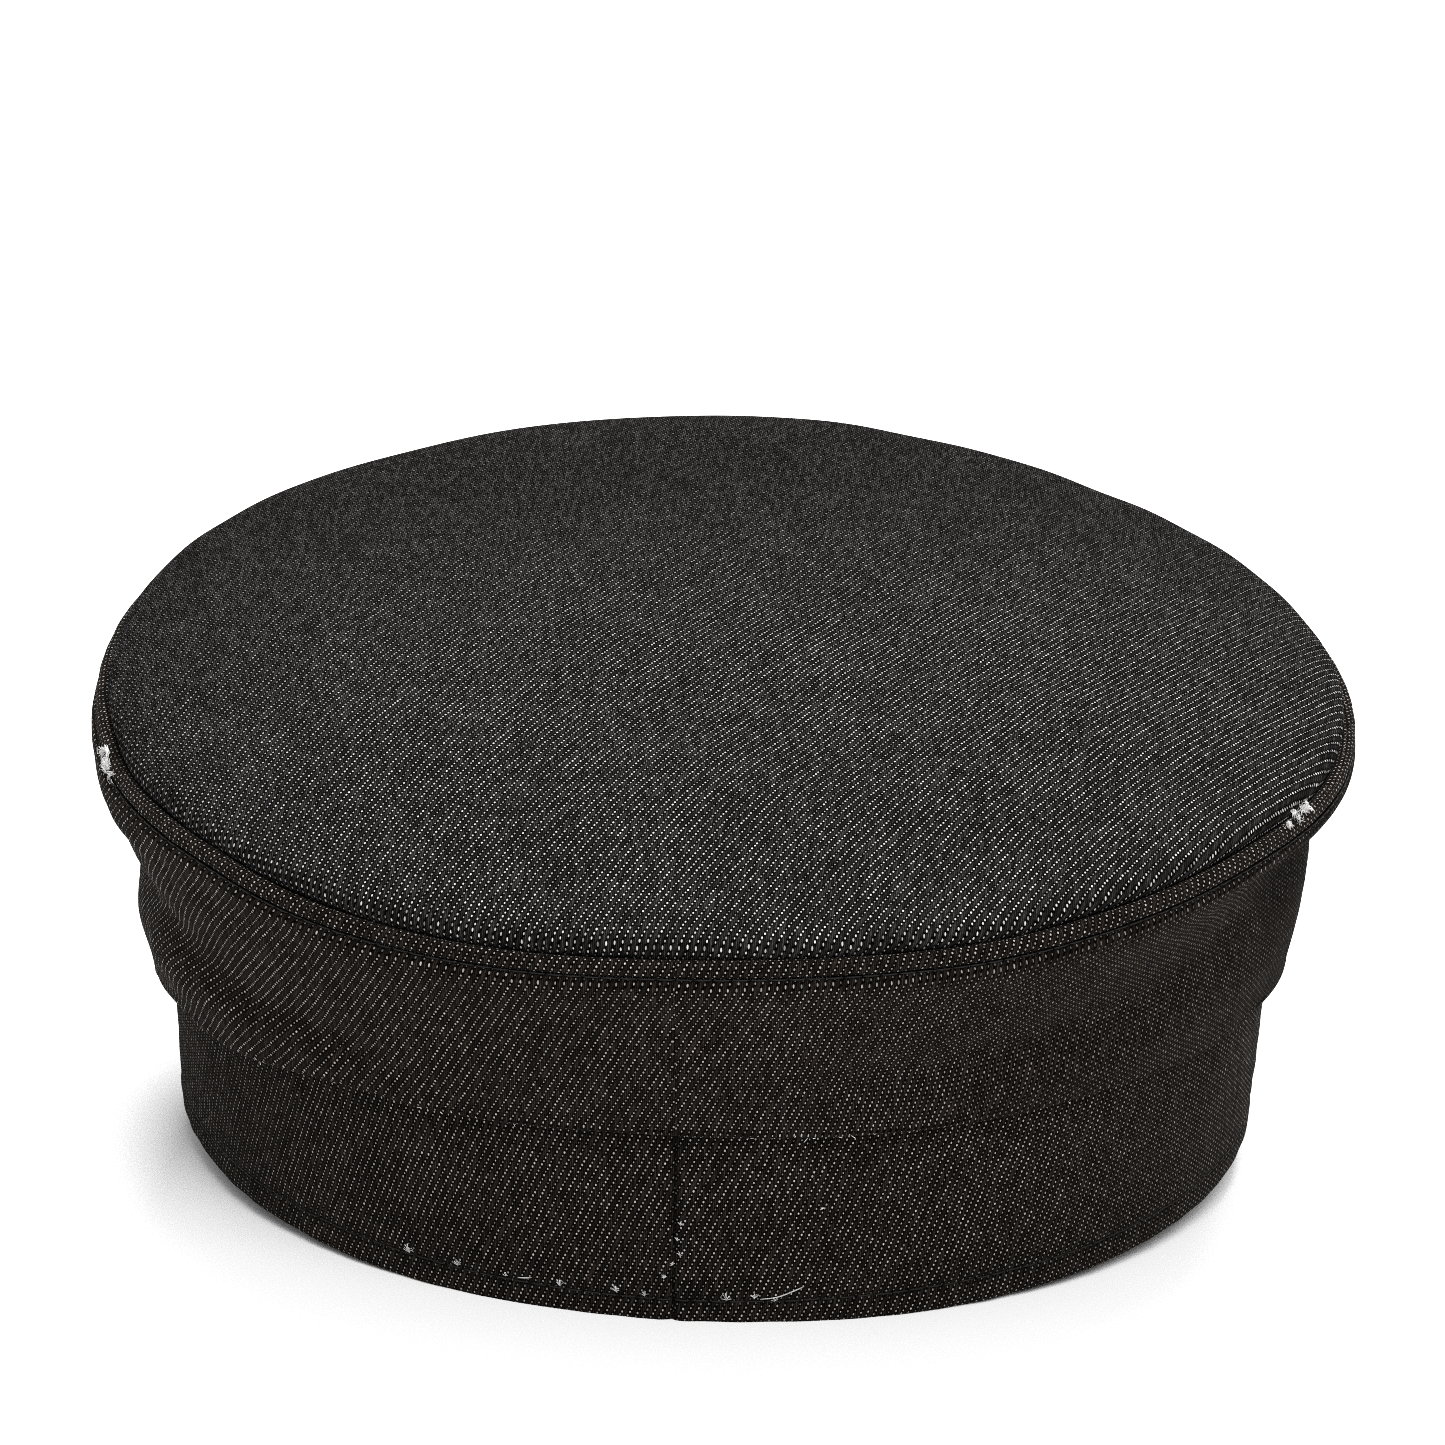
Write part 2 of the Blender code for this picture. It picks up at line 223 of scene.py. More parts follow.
class Graph:
    """A material's nodes, built one after another, so that each sum below reads as one line."""

    def __init__(self, name):
        self.material = bpy.data.materials.new(name)
        self.material.use_nodes = True
        self.tree = self.material.node_tree
        self.shader = self.tree.nodes["Principled BSDF"]

    def link(self, value, socket):
        """Join an output to a socket, or set the socket's own value."""
        if isinstance(value, bpy.types.NodeSocket):
            self.tree.links.new(value, socket)
        else:
            socket.default_value = value

    def add(self, kind, inputs=(), **settings):
        """A node of a kind with its settings, and its inputs by name or number."""
        node = self.tree.nodes.new("ShaderNode" + kind)
        for key, value in settings.items():
            setattr(node, key, value)
        for key, value in dict(inputs).items():
            self.link(value, node.inputs[key])
        return node

    def math(self, operation, *values, clamp=False):
        """One arithmetic step on numbers or outputs."""
        node = self.add("Math", enumerate(values), operation=operation, use_clamp=clamp)
        return node.outputs[0]

    def mix(self, share, low, high):
        """A colour between two colours."""
        node = self.add("Mix", {0: share}, data_type="RGBA", clamp_factor=True)
        self.link(low, node.inputs[6])
        self.link(high, node.inputs[7])
        return node.outputs[2]

    def uneven(self, chance, least_and_spread):
        """The least number plus the spread times a chance from 0 to 1."""
        least, spread = least_and_spread
        return self.math("MULTIPLY_ADD", chance, spread, least)

    def ramp(self, value, limits, smooth=False):
        """A value between two limits as a value between two others, held at both ends."""
        shape = "SMOOTHSTEP" if smooth else "LINEAR"
        inputs = enumerate((value, *limits))
        return self.add("MapRange", inputs, interpolation_type=shape).outputs[0]

    def place(self, x, y, z=0.0):
        """A vector of three numbers or outputs."""
        return self.add("CombineXYZ", {0: x, 1: y, 2: z}).outputs[0]

    def noise(self, vector, scale, detail=2.0):
        """Soft noise of a number of humps to the unit, from 0 to 1."""
        node = self.add("TexNoise", {"Vector": vector, "Scale": scale, "Detail": detail})
        return node.outputs["Fac"]

    def random(self, x, y, salt=0.0):
        """Three random numbers for each whole-numbered place."""
        node = self.add("TexWhiteNoise", {"Vector": self.place(x, y, salt)}, noise_dimensions="3D")
        return self.add("SeparateColor", {0: node.outputs["Color"]}).outputs


def denim(name, warp, weft, warp_pitch, weft_pitch, fleck_mean, fuzz, painted_fade=None):
    """Denim from its two thread colours.

    With U and V the place counted in warp and weft threads, the flecks lie in each row j = floor(V) where
    U = j + 1/2, and every four threads on. A fleck is an ellipse with its own random size and strength,
    and whole threads are thicker or thinner in places, which shows as faint streaks both ways. Between
    flecks the warp's colour changes from float to float, and painted shade darkens it in the gaps between
    threads and in the slanting valleys that the flecks lie in. The point attribute of painted shade dims
    the flecks, and above 0.6 the warp too, in seams, grooves, under folds and on the flanks. The last
    argument, a painted fade, gives a place on the cloth, how far from it the flecks begin and end to fade,
    and the share of them left. They fade faster along the warp than across it, and to a paler ground: the
    fade is painted shade and the paler ground a painted haze.
    """
    g = Graph(name)
    weave = g.add("UVMap", uv_map="weave").outputs[0]
    x, y, _ = g.add("SeparateXYZ", {0: weave}).outputs
    wander = g.add("TexNoise", {"Vector": weave, "Scale": WANDER_SCALE, "Detail": 3.0}).outputs["Color"]
    wander = g.add("SeparateColor", {0: wander}).outputs
    u = g.math("MULTIPLY_ADD", wander[0], THREAD_WANDER * 2, g.math("DIVIDE", x, warp_pitch))
    v = g.math("MULTIPLY_ADD", wander[1], THREAD_WANDER, g.math("DIVIDE", y, weft_pitch))
    row = g.math("FLOOR", v)
    across = g.math("DIVIDE", g.math("SUBTRACT", g.math("SUBTRACT", u, row), 0.5), TWILL_STEP)
    turn = g.math("FLOOR", g.math("ADD", across, 0.5))
    chance = g.random(turn, row)
    other = g.random(turn, row, salt=3.0)
    sideways = g.uneven(chance[2], FLECK_SHIFTS)
    upward = g.uneven(other[0], FLECK_SHIFTS)
    from_middle = g.math("MULTIPLY", g.math("SUBTRACT", across, turn), TWILL_STEP / FLECK_HALF_WIDTH)
    from_row = g.math("DIVIDE", g.math("SUBTRACT", g.math("FRACT", v), 0.5), FLECK_HALF_HEIGHT)
    out = g.math("ADD", g.math("POWER", g.math("ADD", from_middle, sideways), 2.0),
                 g.math("POWER", g.math("ADD", from_row, upward), 2.0))
    inside = g.math("SUBTRACT", g.uneven(chance[1], FLECK_SIZES), out)
    fleck = g.math("MULTIPLY", inside, FLECK_EDGE, clamp=True)
    streak_x = g.math("MULTIPLY", u, STREAK_ACROSS_WARP)
    warp_streak = g.noise(g.place(streak_x, g.math("MULTIPLY", v, STREAK_ALONG)), 1.0)
    streak_y = g.math("MULTIPLY", v, STREAK_ACROSS_WEFT)
    weft_streak = g.noise(g.place(g.math("MULTIPLY", u, STREAK_ALONG), streak_y, 5.0), 1.0)
    patches = g.noise(weave, PATCH_SCALE, 5.0)
    streaks = g.uneven(warp_streak, FLECK_STREAKS)
    streaks = g.math("MULTIPLY", streaks, g.uneven(weft_streak, FLECK_STREAKS))
    streaks = g.math("MULTIPLY", streaks, g.uneven(patches, FLECK_PATCHES))
    # Painted shade: the flecks fade away from a place on the cloth.
    if painted_fade is not None:
        middle_x, middle_y, full, faint, least = painted_fade
        aside = g.math("POWER", g.math("SUBTRACT", x, middle_x), 2.0)
        aside = g.math("MULTIPLY", aside, PAINTED_FADE_WIDENING)
        away = g.math("SQRT", g.math("ADD", aside, g.math("POWER", g.math("SUBTRACT", y, middle_y), 2.0)))
        fade = g.ramp(away, (full, faint, 1.0, least), smooth=True)
        streaks = g.math("MULTIPLY", streaks, fade)
    # Painted shade: this attribute dims the flecks in seams, grooves, under folds and on the flanks.
    painted_shade = g.add("Attribute", attribute_name="painted_shade").outputs["Fac"]
    streaks = g.math("MULTIPLY", streaks, g.math("SUBTRACT", 1.0, painted_shade))
    strength = g.uneven(chance[0], [share * fleck_mean for share in FLECK_STRENGTHS])
    shown = g.math("MULTIPLY", g.math("MULTIPLY", fleck, strength), streaks, clamp=True)

    warp_number = g.math("FLOOR", u)
    beside = g.math("SUBTRACT", g.math("FRACT", u), 0.5)
    float_place = g.math("DIVIDE", g.math("SUBTRACT", v, warp_number), TWILL_STEP)
    float_number = g.math("FLOOR", float_place)
    along = g.math("FRACT", g.math("SUBTRACT", float_place, FLOAT_START))
    crown = g.math("SINE", g.math("MULTIPLY", along, math.pi))
    round_thread = g.math("COSINE", g.math("MULTIPLY", beside, math.pi))
    relief = g.math("MULTIPLY", g.math("POWER", crown, FLOAT_FULLNESS), round_thread)
    own = g.random(warp_number, float_number, salt=7.0)
    hairs = g.noise(g.place(u, v), HAIR_SCALE)
    # Painted shade at thread scale: the warp darkens at the ends of its floats, in the gaps between threads
    # and in the valleys beside the flecks.
    shade = g.math("MULTIPLY", relief, g.uneven(g.math("POWER", own[0], 2.0), WARP_SHADES))
    hairs = g.uneven(g.math("POWER", hairs, 3.0), WARP_HAIRS)
    shade = g.math("MULTIPLY_ADD", shade, hairs, GAP_SHADE)
    shade = g.math("MULTIPLY", shade, g.uneven(patches, WARP_PATCHES))
    valley = g.ramp(g.math("ABSOLUTE", from_middle), VALLEY_RAMP)
    shade = g.math("MULTIPLY", shade, g.math("MULTIPLY", valley, g.ramp(painted_shade, PAINTED_SHADE_RAMP)))
    # Painted haze: the ground grows paler where the flecks fade.
    if painted_fade is not None:
        shade = g.math("MULTIPLY", shade, g.math("MULTIPLY_ADD", fade, -PAINTED_HAZE, 1.0 + PAINTED_HAZE))
    dark = g.add("VectorMath", {0: (*warp,), 3: shade}, operation="SCALE").outputs[0]
    cream = [share * tint for share, tint in zip(weft, CREAM)]
    light = g.mix(other[1], (*weft, 1.0), (*cream, 1.0))
    g.link(g.mix(shown, dark, light), g.shader.inputs["Base Color"])

    height = g.math("MULTIPLY_ADD", fleck, FLECK_RELIEF, relief)
    bump = g.add("Bump", {"Strength": RELIEF_STRENGTH, "Distance": THREAD_RELIEF, "Height": height})
    g.link(bump.outputs[0], g.shader.inputs["Normal"])
    g.shader.inputs["Roughness"].default_value = DENIM_ROUGHNESS
    g.shader.inputs["Specular IOR Level"].default_value = DENIM_GLOSS
    g.shader.inputs["Sheen Weight"].default_value = fuzz
    g.shader.inputs["Sheen Roughness"].default_value = FUZZ_ROUGHNESS
    g.shader.inputs["Sheen Tint"].default_value = FUZZ_TINT
    return g.material


# The top's denim fades with painted shade on its far and left part, over a paler ground of painted haze.
top_denim = denim("black_denim_top", warp=(0.0094, 0.0087, 0.0084), weft=(0.59, 0.575, 0.575),
                  warp_pitch=0.000346, weft_pitch=0.00074, fleck_mean=0.50, fuzz=0.0,
                  painted_fade=(0.050, -0.070, 0.061, 0.150, 0.21))
# The side's denim is the top's cloth made darker, with dimmer flecks: painted shade for the sides, which take
# less light than the top. The band, welt and peak use it too.
side_denim_shaded = denim("black_denim_side", warp=(0.0070, 0.0054, 0.0044), weft=(0.51, 0.49, 0.475),
                   warp_pitch=WARP_PITCH, weft_pitch=WEFT_PITCH, fleck_mean=0.41, fuzz=0.013)
denim_reverse = denim("denim_reverse", warp=(0.16, 0.16, 0.16), weft=(0.03, 0.03, 0.03),
                      warp_pitch=WARP_PITCH, weft_pitch=WEFT_PITCH, fleck_mean=0.5, fuzz=0.0)


# The head band, a strip of denim folded double and sewn into a ring with one seam at the middle of the
# back. It leans outward as it rises, and a row of stitches holds its folded lower edge.
BAND_HEIGHT = 0.043
BAND_FLARE = math.radians(4.5)
BAND_WALL = 0.0024
BAND_EDGE = 0.0012
BAND_ROWS = 460
BAND_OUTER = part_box("band")[1].x - BAND_HEIGHT * math.tan(BAND_FLARE)
BAND_MIDDLE = BAND_OUTER + BAND_HEIGHT / 2 * math.tan(BAND_FLARE)
BACK_SEAM = 0.0
HEM_HEIGHT = 0.0050
WEFT_SLOPE = 0.035

# How far the cloth stands out or dips at the hem and the seam, and the half width of each.
HEM_PUFF = (0.00016, 0.0016)
HEM_GROOVE = (0.00030, 0.0006)
SEAM_RIDGE = (0.00022, 0.0012)
SEAM_RIDGE_PLACE = 0.0022
SEAM_GROOVE = (0.00042, 0.0005)
BAND_RIPPLE = 0.00010

# Painted shade on the band, as how dull the flecks are: in the hem's groove and in the seam, with half
# widths, and on the flanks, from one angle to another in radians.
HEM_SHADE = (0.85, 0.0008)
SEAM_SHADE = (0.9, 0.0006)
FLANK_SHADE = 0.38
FLANK_START = 0.55
FLANK_END = 1.0


def ridge(distance, size_and_width):
    """A bell of that size and half width."""
    size, width = size_and_width
    return size * bell(distance, width)


def band_face(height):
    """Radius of the band's outer face, its lower radius and the height times the slope."""
    return BAND_OUTER + height * math.tan(BAND_FLARE)


def seam_distance(angle):
    """How far round the band an angle is from the back seam, less than half a turn either way."""
    return ((angle - BACK_SEAM + math.pi) % math.tau - math.pi) * BAND_MIDDLE


def band_relief(angle, height):
    """How far the outer face stands out: soft ripples, the hem's puff and groove, the seam and its ridges."""
    from_seam = seam_distance(angle)
    hem = ridge(height - HEM_HEIGHT / 2, HEM_PUFF) - ridge(height - HEM_HEIGHT, HEM_GROOVE)
    seam = ridge(np.abs(from_seam) - SEAM_RIDGE_PLACE, SEAM_RIDGE) - ridge(from_seam, SEAM_GROOVE)
    soft = ripples(angle * BAND_MIDDLE, height, count=24, shortest=0.006, longest=0.040, seed=11)
    return BAND_RIPPLE * soft + hem + seam


def make_band():
    """The ring, a rounded slanting strip in section, carried once round from the back seam."""
    angle = ring_angles(BAND_ROWS, BACK_SEAM, BAND_MIDDLE)[:, None]
    down = np.linspace(BAND_HEIGHT - BAND_EDGE, BAND_EDGE, 64)
    turn = np.linspace(0.0, math.pi, 11)[1:-1]
    up = np.linspace(BAND_EDGE, BAND_HEIGHT - BAND_EDGE, 24)
    half = BAND_WALL / 2
    inward = np.concatenate([0 * down, half * (1 - np.cos(turn)), 0 * up + BAND_WALL,
                             half * (1 + np.cos(turn)), [0.0]])
    height = np.concatenate([down, BAND_EDGE * (1 - np.sin(turn)), up,
                             BAND_HEIGHT - BAND_EDGE * (1 - np.sin(turn)), [down[0]]])
    relief = band_relief(angle, height) * (1.0 - inward / BAND_WALL)
    points = round_axis(angle, band_face(height) - inward + relief, height)
    steps = np.hypot(np.diff(inward), np.diff(height))
    length = np.concatenate([[0.0], np.cumsum(steps)])
    wide = angle * BAND_MIDDLE
    weave = np.stack(np.broadcast_arrays(wide, -length - WEFT_SLOPE * wide), axis=-1)
    from_seam = seam_distance(angle)
    # Painted shade: the flecks dull on the flanks, in the hem's groove and in the seam.
    flank = FLANK_SHADE * eased(np.abs(from_seam) / BAND_MIDDLE, FLANK_START, FLANK_END)
    painted_shade = np.maximum(ridge(height - HEM_HEIGHT, HEM_SHADE), ridge(from_seam, SEAM_SHADE))
    painted_shade = np.maximum(painted_shade, flank)
    return cloth_mesh("head_band", points, weave, painted_shade, ("rows", "columns"), [side_denim_shaded])


# Sewing thread and single fibres. The slant is only a direction to cross a thread's own with.
STITCH_LENGTH = 0.0031
STITCH_THREAD = 0.00028
STITCH_RISE = 0.00022
STITCH_SINK = 0.00012
STITCH_POINTS = 7
NEEDLE_HOLE = 0.03
YARN_GRAIN = 2500.0
YARN_GLOSS = 0.1
THREAD_SIDES = 5
THREAD_SLANT = (0.36, 0.48, 0.80)
THREAD_TAPER = ((0.0, 0.15, 0.85, 1.0), (0.4, 1.0, 1.0, 0.4))


def yarn(name, dark, light, roughness):
    """Sewing thread or lint of two tones, mottled finely all along like twisted fibres."""
    g = Graph(name)
    grain = g.noise(g.add("TexCoord").outputs["Object"], YARN_GRAIN)
    g.link(g.mix(grain, (*dark, 1.0), (*light, 1.0)), g.shader.inputs["Base Color"])
    g.shader.inputs["Roughness"].default_value = roughness
    g.shader.inputs["Specular IOR Level"].default_value = YARN_GLOSS
    return g.material


def stitches(line, outward):
    """Stitches along a line on the cloth, each an arc that rises from its two needle holes.

    A point stands out from the line by rise times the root of the sine of its half turn, less the sink.
    """
    length = np.concatenate([[0.0], np.cumsum(np.linalg.norm(np.diff(line, axis=0), axis=1))])
    number = round(length[-1] / STITCH_LENGTH)
    share = np.linspace(NEEDLE_HOLE, 1.0 - NEEDLE_HOLE, STITCH_POINTS)
    at = (np.arange(number)[:, None] + share) * length[-1] / number
    path, away = (np.stack([np.interp(at, length, way[:, k]) for k in range(3)], axis=-1)
                  for way in (line, outward))
    return path + away * (STITCH_RISE * np.sin(math.pi * share) ** 0.5 - STITCH_SINK)[:, None]


def thread_mesh(name, paths, thickness, material):
    """Round threads in one mesh, each along a path of points.

    A ring of five corners stands square to the path at every point. Its axes are the path's direction
    crossed with a fixed slanting one, and the direction crossed with that. Threads narrow towards their
    ends, and one face closes each end.
    """
    paths = np.asarray(paths)
    count, length = paths.shape[:2]
    ahead = np.gradient(paths, axis=1)
    ahead /= np.linalg.norm(ahead, axis=2, keepdims=True)
    aside = np.cross(ahead, THREAD_SLANT)
    aside /= np.linalg.norm(aside, axis=2, keepdims=True)
    across = np.cross(ahead, aside)
    sides = THREAD_SIDES
    turn = (np.arange(sides) * math.tau / sides)[:, None]
    taper = np.interp(np.linspace(0.0, 1.0, length), *THREAD_TAPER)
    reach = np.reshape(thickness, (-1, 1, 1, 1)) / 2 * taper[:, None, None]
    rings = paths[:, :, None] + reach * (aside[:, :, None] * np.cos(turn) + across[:, :, None] * np.sin(turn))
    start = (np.arange(count) * length * sides)[:, None, None]
    point = (np.arange(length - 1) * sides)[:, None]
    corner = np.arange(sides)
    here, beside = start + point + corner, start + point + (corner + 1) % sides
    faces = np.stack([here, beside, beside + sides, here + sides], axis=-1).reshape(-1, 4).tolist()
    faces += (start[:, 0] + corner[::-1]).tolist() + (start[:, 0] + (length - 1) * sides + corner).tolist()
    mesh = bpy.data.meshes.new(name)
    mesh.from_pydata(in_place(rings.reshape(-1, 3)).tolist(), [], faces)
    return new_piece(name, mesh, [material])


sewing_thread = yarn("black_sewing_thread", (0.004, 0.004, 0.004), (0.014, 0.013, 0.012), 0.6)


def ring_stitches(name, radius, height, angle):
    """A row of stitches round the hat at each angle's radius and height."""
    line = round_axis(angle, radius, height)
    return thread_mesh(name, stitches(line, round_axis(angle, 1.0, 0.0)), STITCH_THREAD, sewing_thread)


band = make_band()
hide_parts("band")
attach(band, "root")

round_hem = np.linspace(0.0, math.tau, 1501)
hem_stitches = ring_stitches("hem_stitches", band_face(HEM_HEIGHT) + band_relief(round_hem, HEM_HEIGHT),
                             HEM_HEIGHT, round_hem)
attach(hem_stitches, "root")


# The crown's side, one width of denim sewn on the band's upper edge. It hangs in a soft fold over the
# band and leans out from there to the welt, with creases where the cloth is pulled to one side.
SIDE_WALL = 0.0011
SEAM_GAP = 0.0003
FOLD_BEND = 0.0008
CREASE_DEPTH = 0.0020
CREASE_RUN_OUT = 0.25
SEAM_CLEAR = 0.17
WELT_HEIGHT = 0.0031
WELT_DEPTH = 0.0032
CROWN_LEAN = math.radians(2.55)
RIM_SWAY = 0.0013
SEAM_HEIGHT = 0.0764
SEAM_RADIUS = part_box("crown_welt")[1].x - WELT_DEPTH * 3 / 4
SIDE_TOP = SEAM_HEIGHT - WELT_HEIGHT
SIDE_TOP_RADIUS = SEAM_RADIUS + WELT_DEPTH / 4
SIDE_MIDDLE = 0.1005
SIDE_ROWS = 400
SIDE_RIPPLE = 0.00016
NEAR_WELT = 0.06

# The side swells out under the welt: how far, and at which depths below the welt it starts and ends.
SIDE_SWELL = 0.00105
SWELL_START = (-0.0002, 0.0013)
SWELL_END = (0.002, 0.010)

# How the weave is pulled on the left flank and crowded on the right: an angle and half width in radians,
# and the shares by which the warp threads lie apart or close, and the weft threads close or apart.
DRAWN_PLACE = (-1.05, 0.60)
DRAWN_WARP = 0.30
DRAWN_WEFT = 0.10
DRAWN_SLANT = 0.19
CROWDED_PLACE = (0.50, 0.35)
CROWDED_WARP = 0.18
CROWDED_WEFT = 0.12

# Painted shade on the side, as how dull its flecks are: everywhere, less where the cloth is drawn out,
# more in two steps on the right flank up to where that eases out again, in the groove under the welt,
# and under the fold.
SIDE_SHADE = 0.12
DRAWN_SHADE = 0.08
RIGHT_SHADES = ((0.38, 0.25, 0.70), (0.25, 1.05, 1.35))
RIGHT_END = (1.6, 2.6)
GROOVE_SHADE = 0.90
GROOVE_DEPTHS = (0.0002, 0.0010)
UNDER_SHADE = 0.75
UNDER_TURN = (0.45, 1.3)

# Soft waves in the height of the crown's rim, as shares of RIM_SWAY.
RIM_WAVES = (
    # order, cosine, sine
    (2, 1.00, 1.00),
    (3, -0.20, 0.40),
)

# Places where the rim stands higher or hangs lower: angle and half width in degrees, height in millimetres.
RIM_DIPS = (
    (-112, 22, 0.77),
    (-70, 8, -1.2),
    (-49, 8, 0.7),
    (0, 14, 0.8),
    (30, 10, -0.7),
    (62, 12, 1.1),
    (105, 20, 0.2),
    (150, 22, -0.4),
    (180, 65, -2.6),
    (180, 26, 0.9),
)

# Ten places round the side. The fold's height is a share of BAND_HEIGHT, its bend one of FOLD_BEND, and
# the last three say how far the cloth has come out at each quarter of the way up.
SIDE_SECTIONS = (
    # angle, fold, bend, low, middle, high
    (-140, 0.74, 1.35, 0.20, 0.45, 0.80),
    (-88, 0.55, 0.95, 0.29, 0.20, 0.65),
    (-60, 0.69, 1.30, 0.33, 0.43, 0.785),
    (-30, 0.82, 1.18, 0.22, 0.46, 0.77),
    (0, 0.87, 1.00, 0.24, 0.50, 0.77),
    (40, 0.85, 1.09, 0.22, 0.45, 0.72),
    (70, 0.795, 1.02, 0.12, 0.335, 0.42),
    (92, 0.72, 1.04, 0.20, 0.305, 0.30),
    (130, 0.76, 1.26, 0.20, 0.45, 0.75),
    (180, 0.82, 1.09, 0.26, 0.54, 0.80),
)

# Creases and ridges, each on a slanting line from one place to another. Heights and widths are shares
# of the way from the fold to the welt, depths of CREASE_DEPTH, outward positive.
CREASES = (
    # from angle, from height, to angle, to height, width, depth
    (-84, 0.56, -30, 0.22, 0.13, -0.80),
    (-70, 0.24, -28, 0.08, 0.12, 0.35),
    (14, 0.30, 80, 0.68, 0.17, -1.10),
    (34, 0.08, 80, 0.28, 0.13, 0.45),
    (60, 0.86, 118, 0.86, 0.10, -0.95),
    (-62, 0.90, -38, 0.88, 0.10, -0.45),
    (-86, 0.91, -60, 0.91, 0.09, 0.80),
    (112, 0.50, 150, 0.30, 0.15, -0.60),
    (-150, 0.36, -112, 0.54, 0.15, -0.60),
)


def crown_lift(angle, radius):
    """How far the crown rises: its lean to the front, and waves and dips, which grow as radius squared."""
    rim = 0.0
    for order, cosine, sine in RIM_WAVES:
        rim = rim + RIM_SWAY * (cosine * np.cos(order * angle) + sine * np.sin(order * angle))
    for place, width, height in RIM_DIPS:
        away = (angle - math.radians(place) + math.pi) % math.tau - math.pi
        rim = rim + height / 1000 * bell(away, math.radians(width))
    return -radius * np.cos(angle) * math.tan(CROWN_LEAN) + (radius / SEAM_RADIUS) ** 2 * rim


def section_value(column, angle):
    """One column of the side's sections, eased from row to row by half a cosine wave."""
    known = np.radians([row[0] for row in SIDE_SECTIONS])
    value = np.array([row[column] for row in SIDE_SECTIONS])
    known = np.append(known, known[0] + math.tau)
    value = np.append(value, value[0])
    angle = known[0] + (angle - known[0]) % math.tau
    after = np.clip(np.searchsorted(known, angle, side="right"), 1, len(known) - 1)
    share = (angle - known[after - 1]) / (known[after] - known[after - 1])
    ease = 0.5 - 0.5 * np.cos(math.pi * share)
    return value[after - 1] * (1.0 - ease) + value[after] * ease


def smooth_through(values, share):
    """A curve through evenly spaced values, read at shares of its length.

    Each stretch is a cubic, whose slope at a value is half the step between that value's neighbours.
    """
    last = len(values) - 1
    values = np.stack(np.broadcast_arrays(*values), axis=0)
    index = np.minimum((share * last).astype(int), last - 1)
    before, start, end, after = (values[np.clip(index + step, 0, last)].T for step in (-1, 0, 1, 2))
    part = share * last - index
    return (start * (2 * part**3 - 3 * part**2 + 1) + (end - before) / 2 * (part**3 - 2 * part**2 + part)
            + end * (3 * part**2 - 2 * part**3) + (after - start) / 2 * (part**3 - part**2))


def crease_offset(angle, height):
    """How far the creases move the side outward: a bell across each slanting line, fading at its ends."""
    offset = np.zeros(np.broadcast(angle, height).shape)
    for from_angle, from_height, to_angle, to_height, width, depth in CREASES:
        start, end = math.radians(from_angle), math.radians(to_angle)
        turn = (angle - (start + end) / 2 + math.pi) % math.tau - math.pi
        along = turn / ((end - start) / 2)
        line = from_height + (to_height - from_height) * (along + 1) / 2
        fade = eased(1.0 + CREASE_RUN_OUT - np.abs(along), 0.0, 2 * CREASE_RUN_OUT)
        offset += depth * CREASE_DEPTH * bell(height - line, width) * fade
    return offset * np.minimum(1.0, (1.0 - height) / SEAM_CLEAR)


def side_profile(angle):
    """Middle line of the side's cloth at each angle, as radii and heights from the welt down and back up.

    It falls from the welt to the fold, turns in through half a circle, climbs the band's outer face and
    ends on the band's upper edge. The third result is how far it has turned under at each point.
    """
    half = SIDE_WALL / 2
    fold, bend, low, middle, high = (section_value(column, angle) for column in range(1, 6))
    bend = bend * FOLD_BEND
    turn_height = (fold * BAND_HEIGHT + half + bend)[:, None]
    inner = band_face(turn_height) + SEAM_GAP + half
    bend = bend[:, None]
    outer = inner + 2 * bend
    top = SIDE_TOP + crown_lift(angle, SIDE_TOP_RADIUS)[:, None]
    near_welt = 1.0 - np.linspace(0.0, NEAR_WELT, 12)[:-1]
    share = np.concatenate([near_welt, np.linspace(1.0 - NEAR_WELT, 0.0, 76)])
    quarters = (0.0, low, middle, high, 1.0)
    ply = outer + (SIDE_TOP_RADIUS - outer) * smooth_through(quarters, share)
    around = angle[:, None]
    ply_height = turn_height + (top - turn_height) * share
    fine = ripples(around * SIDE_MIDDLE, ply_height, count=30, shortest=0.007, longest=0.045, seed=21)
    fine = SIDE_RIPPLE * fine
    drop = top - ply_height
    swell = SIDE_SWELL * eased(drop, *SWELL_START) * (1.0 - eased(drop, *SWELL_END))
    ply = ply + swell + crease_offset(around, share) + fine * eased(1.0 - share, 0.0, 0.1)
    swing = np.linspace(math.pi, 0.0, 13)[1:]
    fold_radius = inner + bend * (1 - np.cos(swing))
    fold_height = turn_height - bend * np.sin(swing)
    climb = np.linspace(0.0, 1.0, 8)[1:]
    seat = BAND_HEIGHT + SEAM_GAP + half
    corner = band_face(BAND_HEIGHT) + SEAM_GAP + half
    climb_height = turn_height + (seat - SIDE_WALL - turn_height) * climb
    climb_radius = band_face(climb_height) + SEAM_GAP + half
    flat = np.ones_like(around)
    radii = [ply, fold_radius, climb_radius, flat * (corner - SIDE_WALL), flat * (BAND_OUTER - BAND_WALL / 2)]
    heights = [ply_height, fold_height, climb_height, flat * seat, flat * seat]
    turned = np.concatenate([0 * share, math.pi - swing, 0 * climb + math.pi, [math.pi, math.pi]])
    return np.concatenate(radii, axis=1), np.concatenate(heights, axis=1), turned


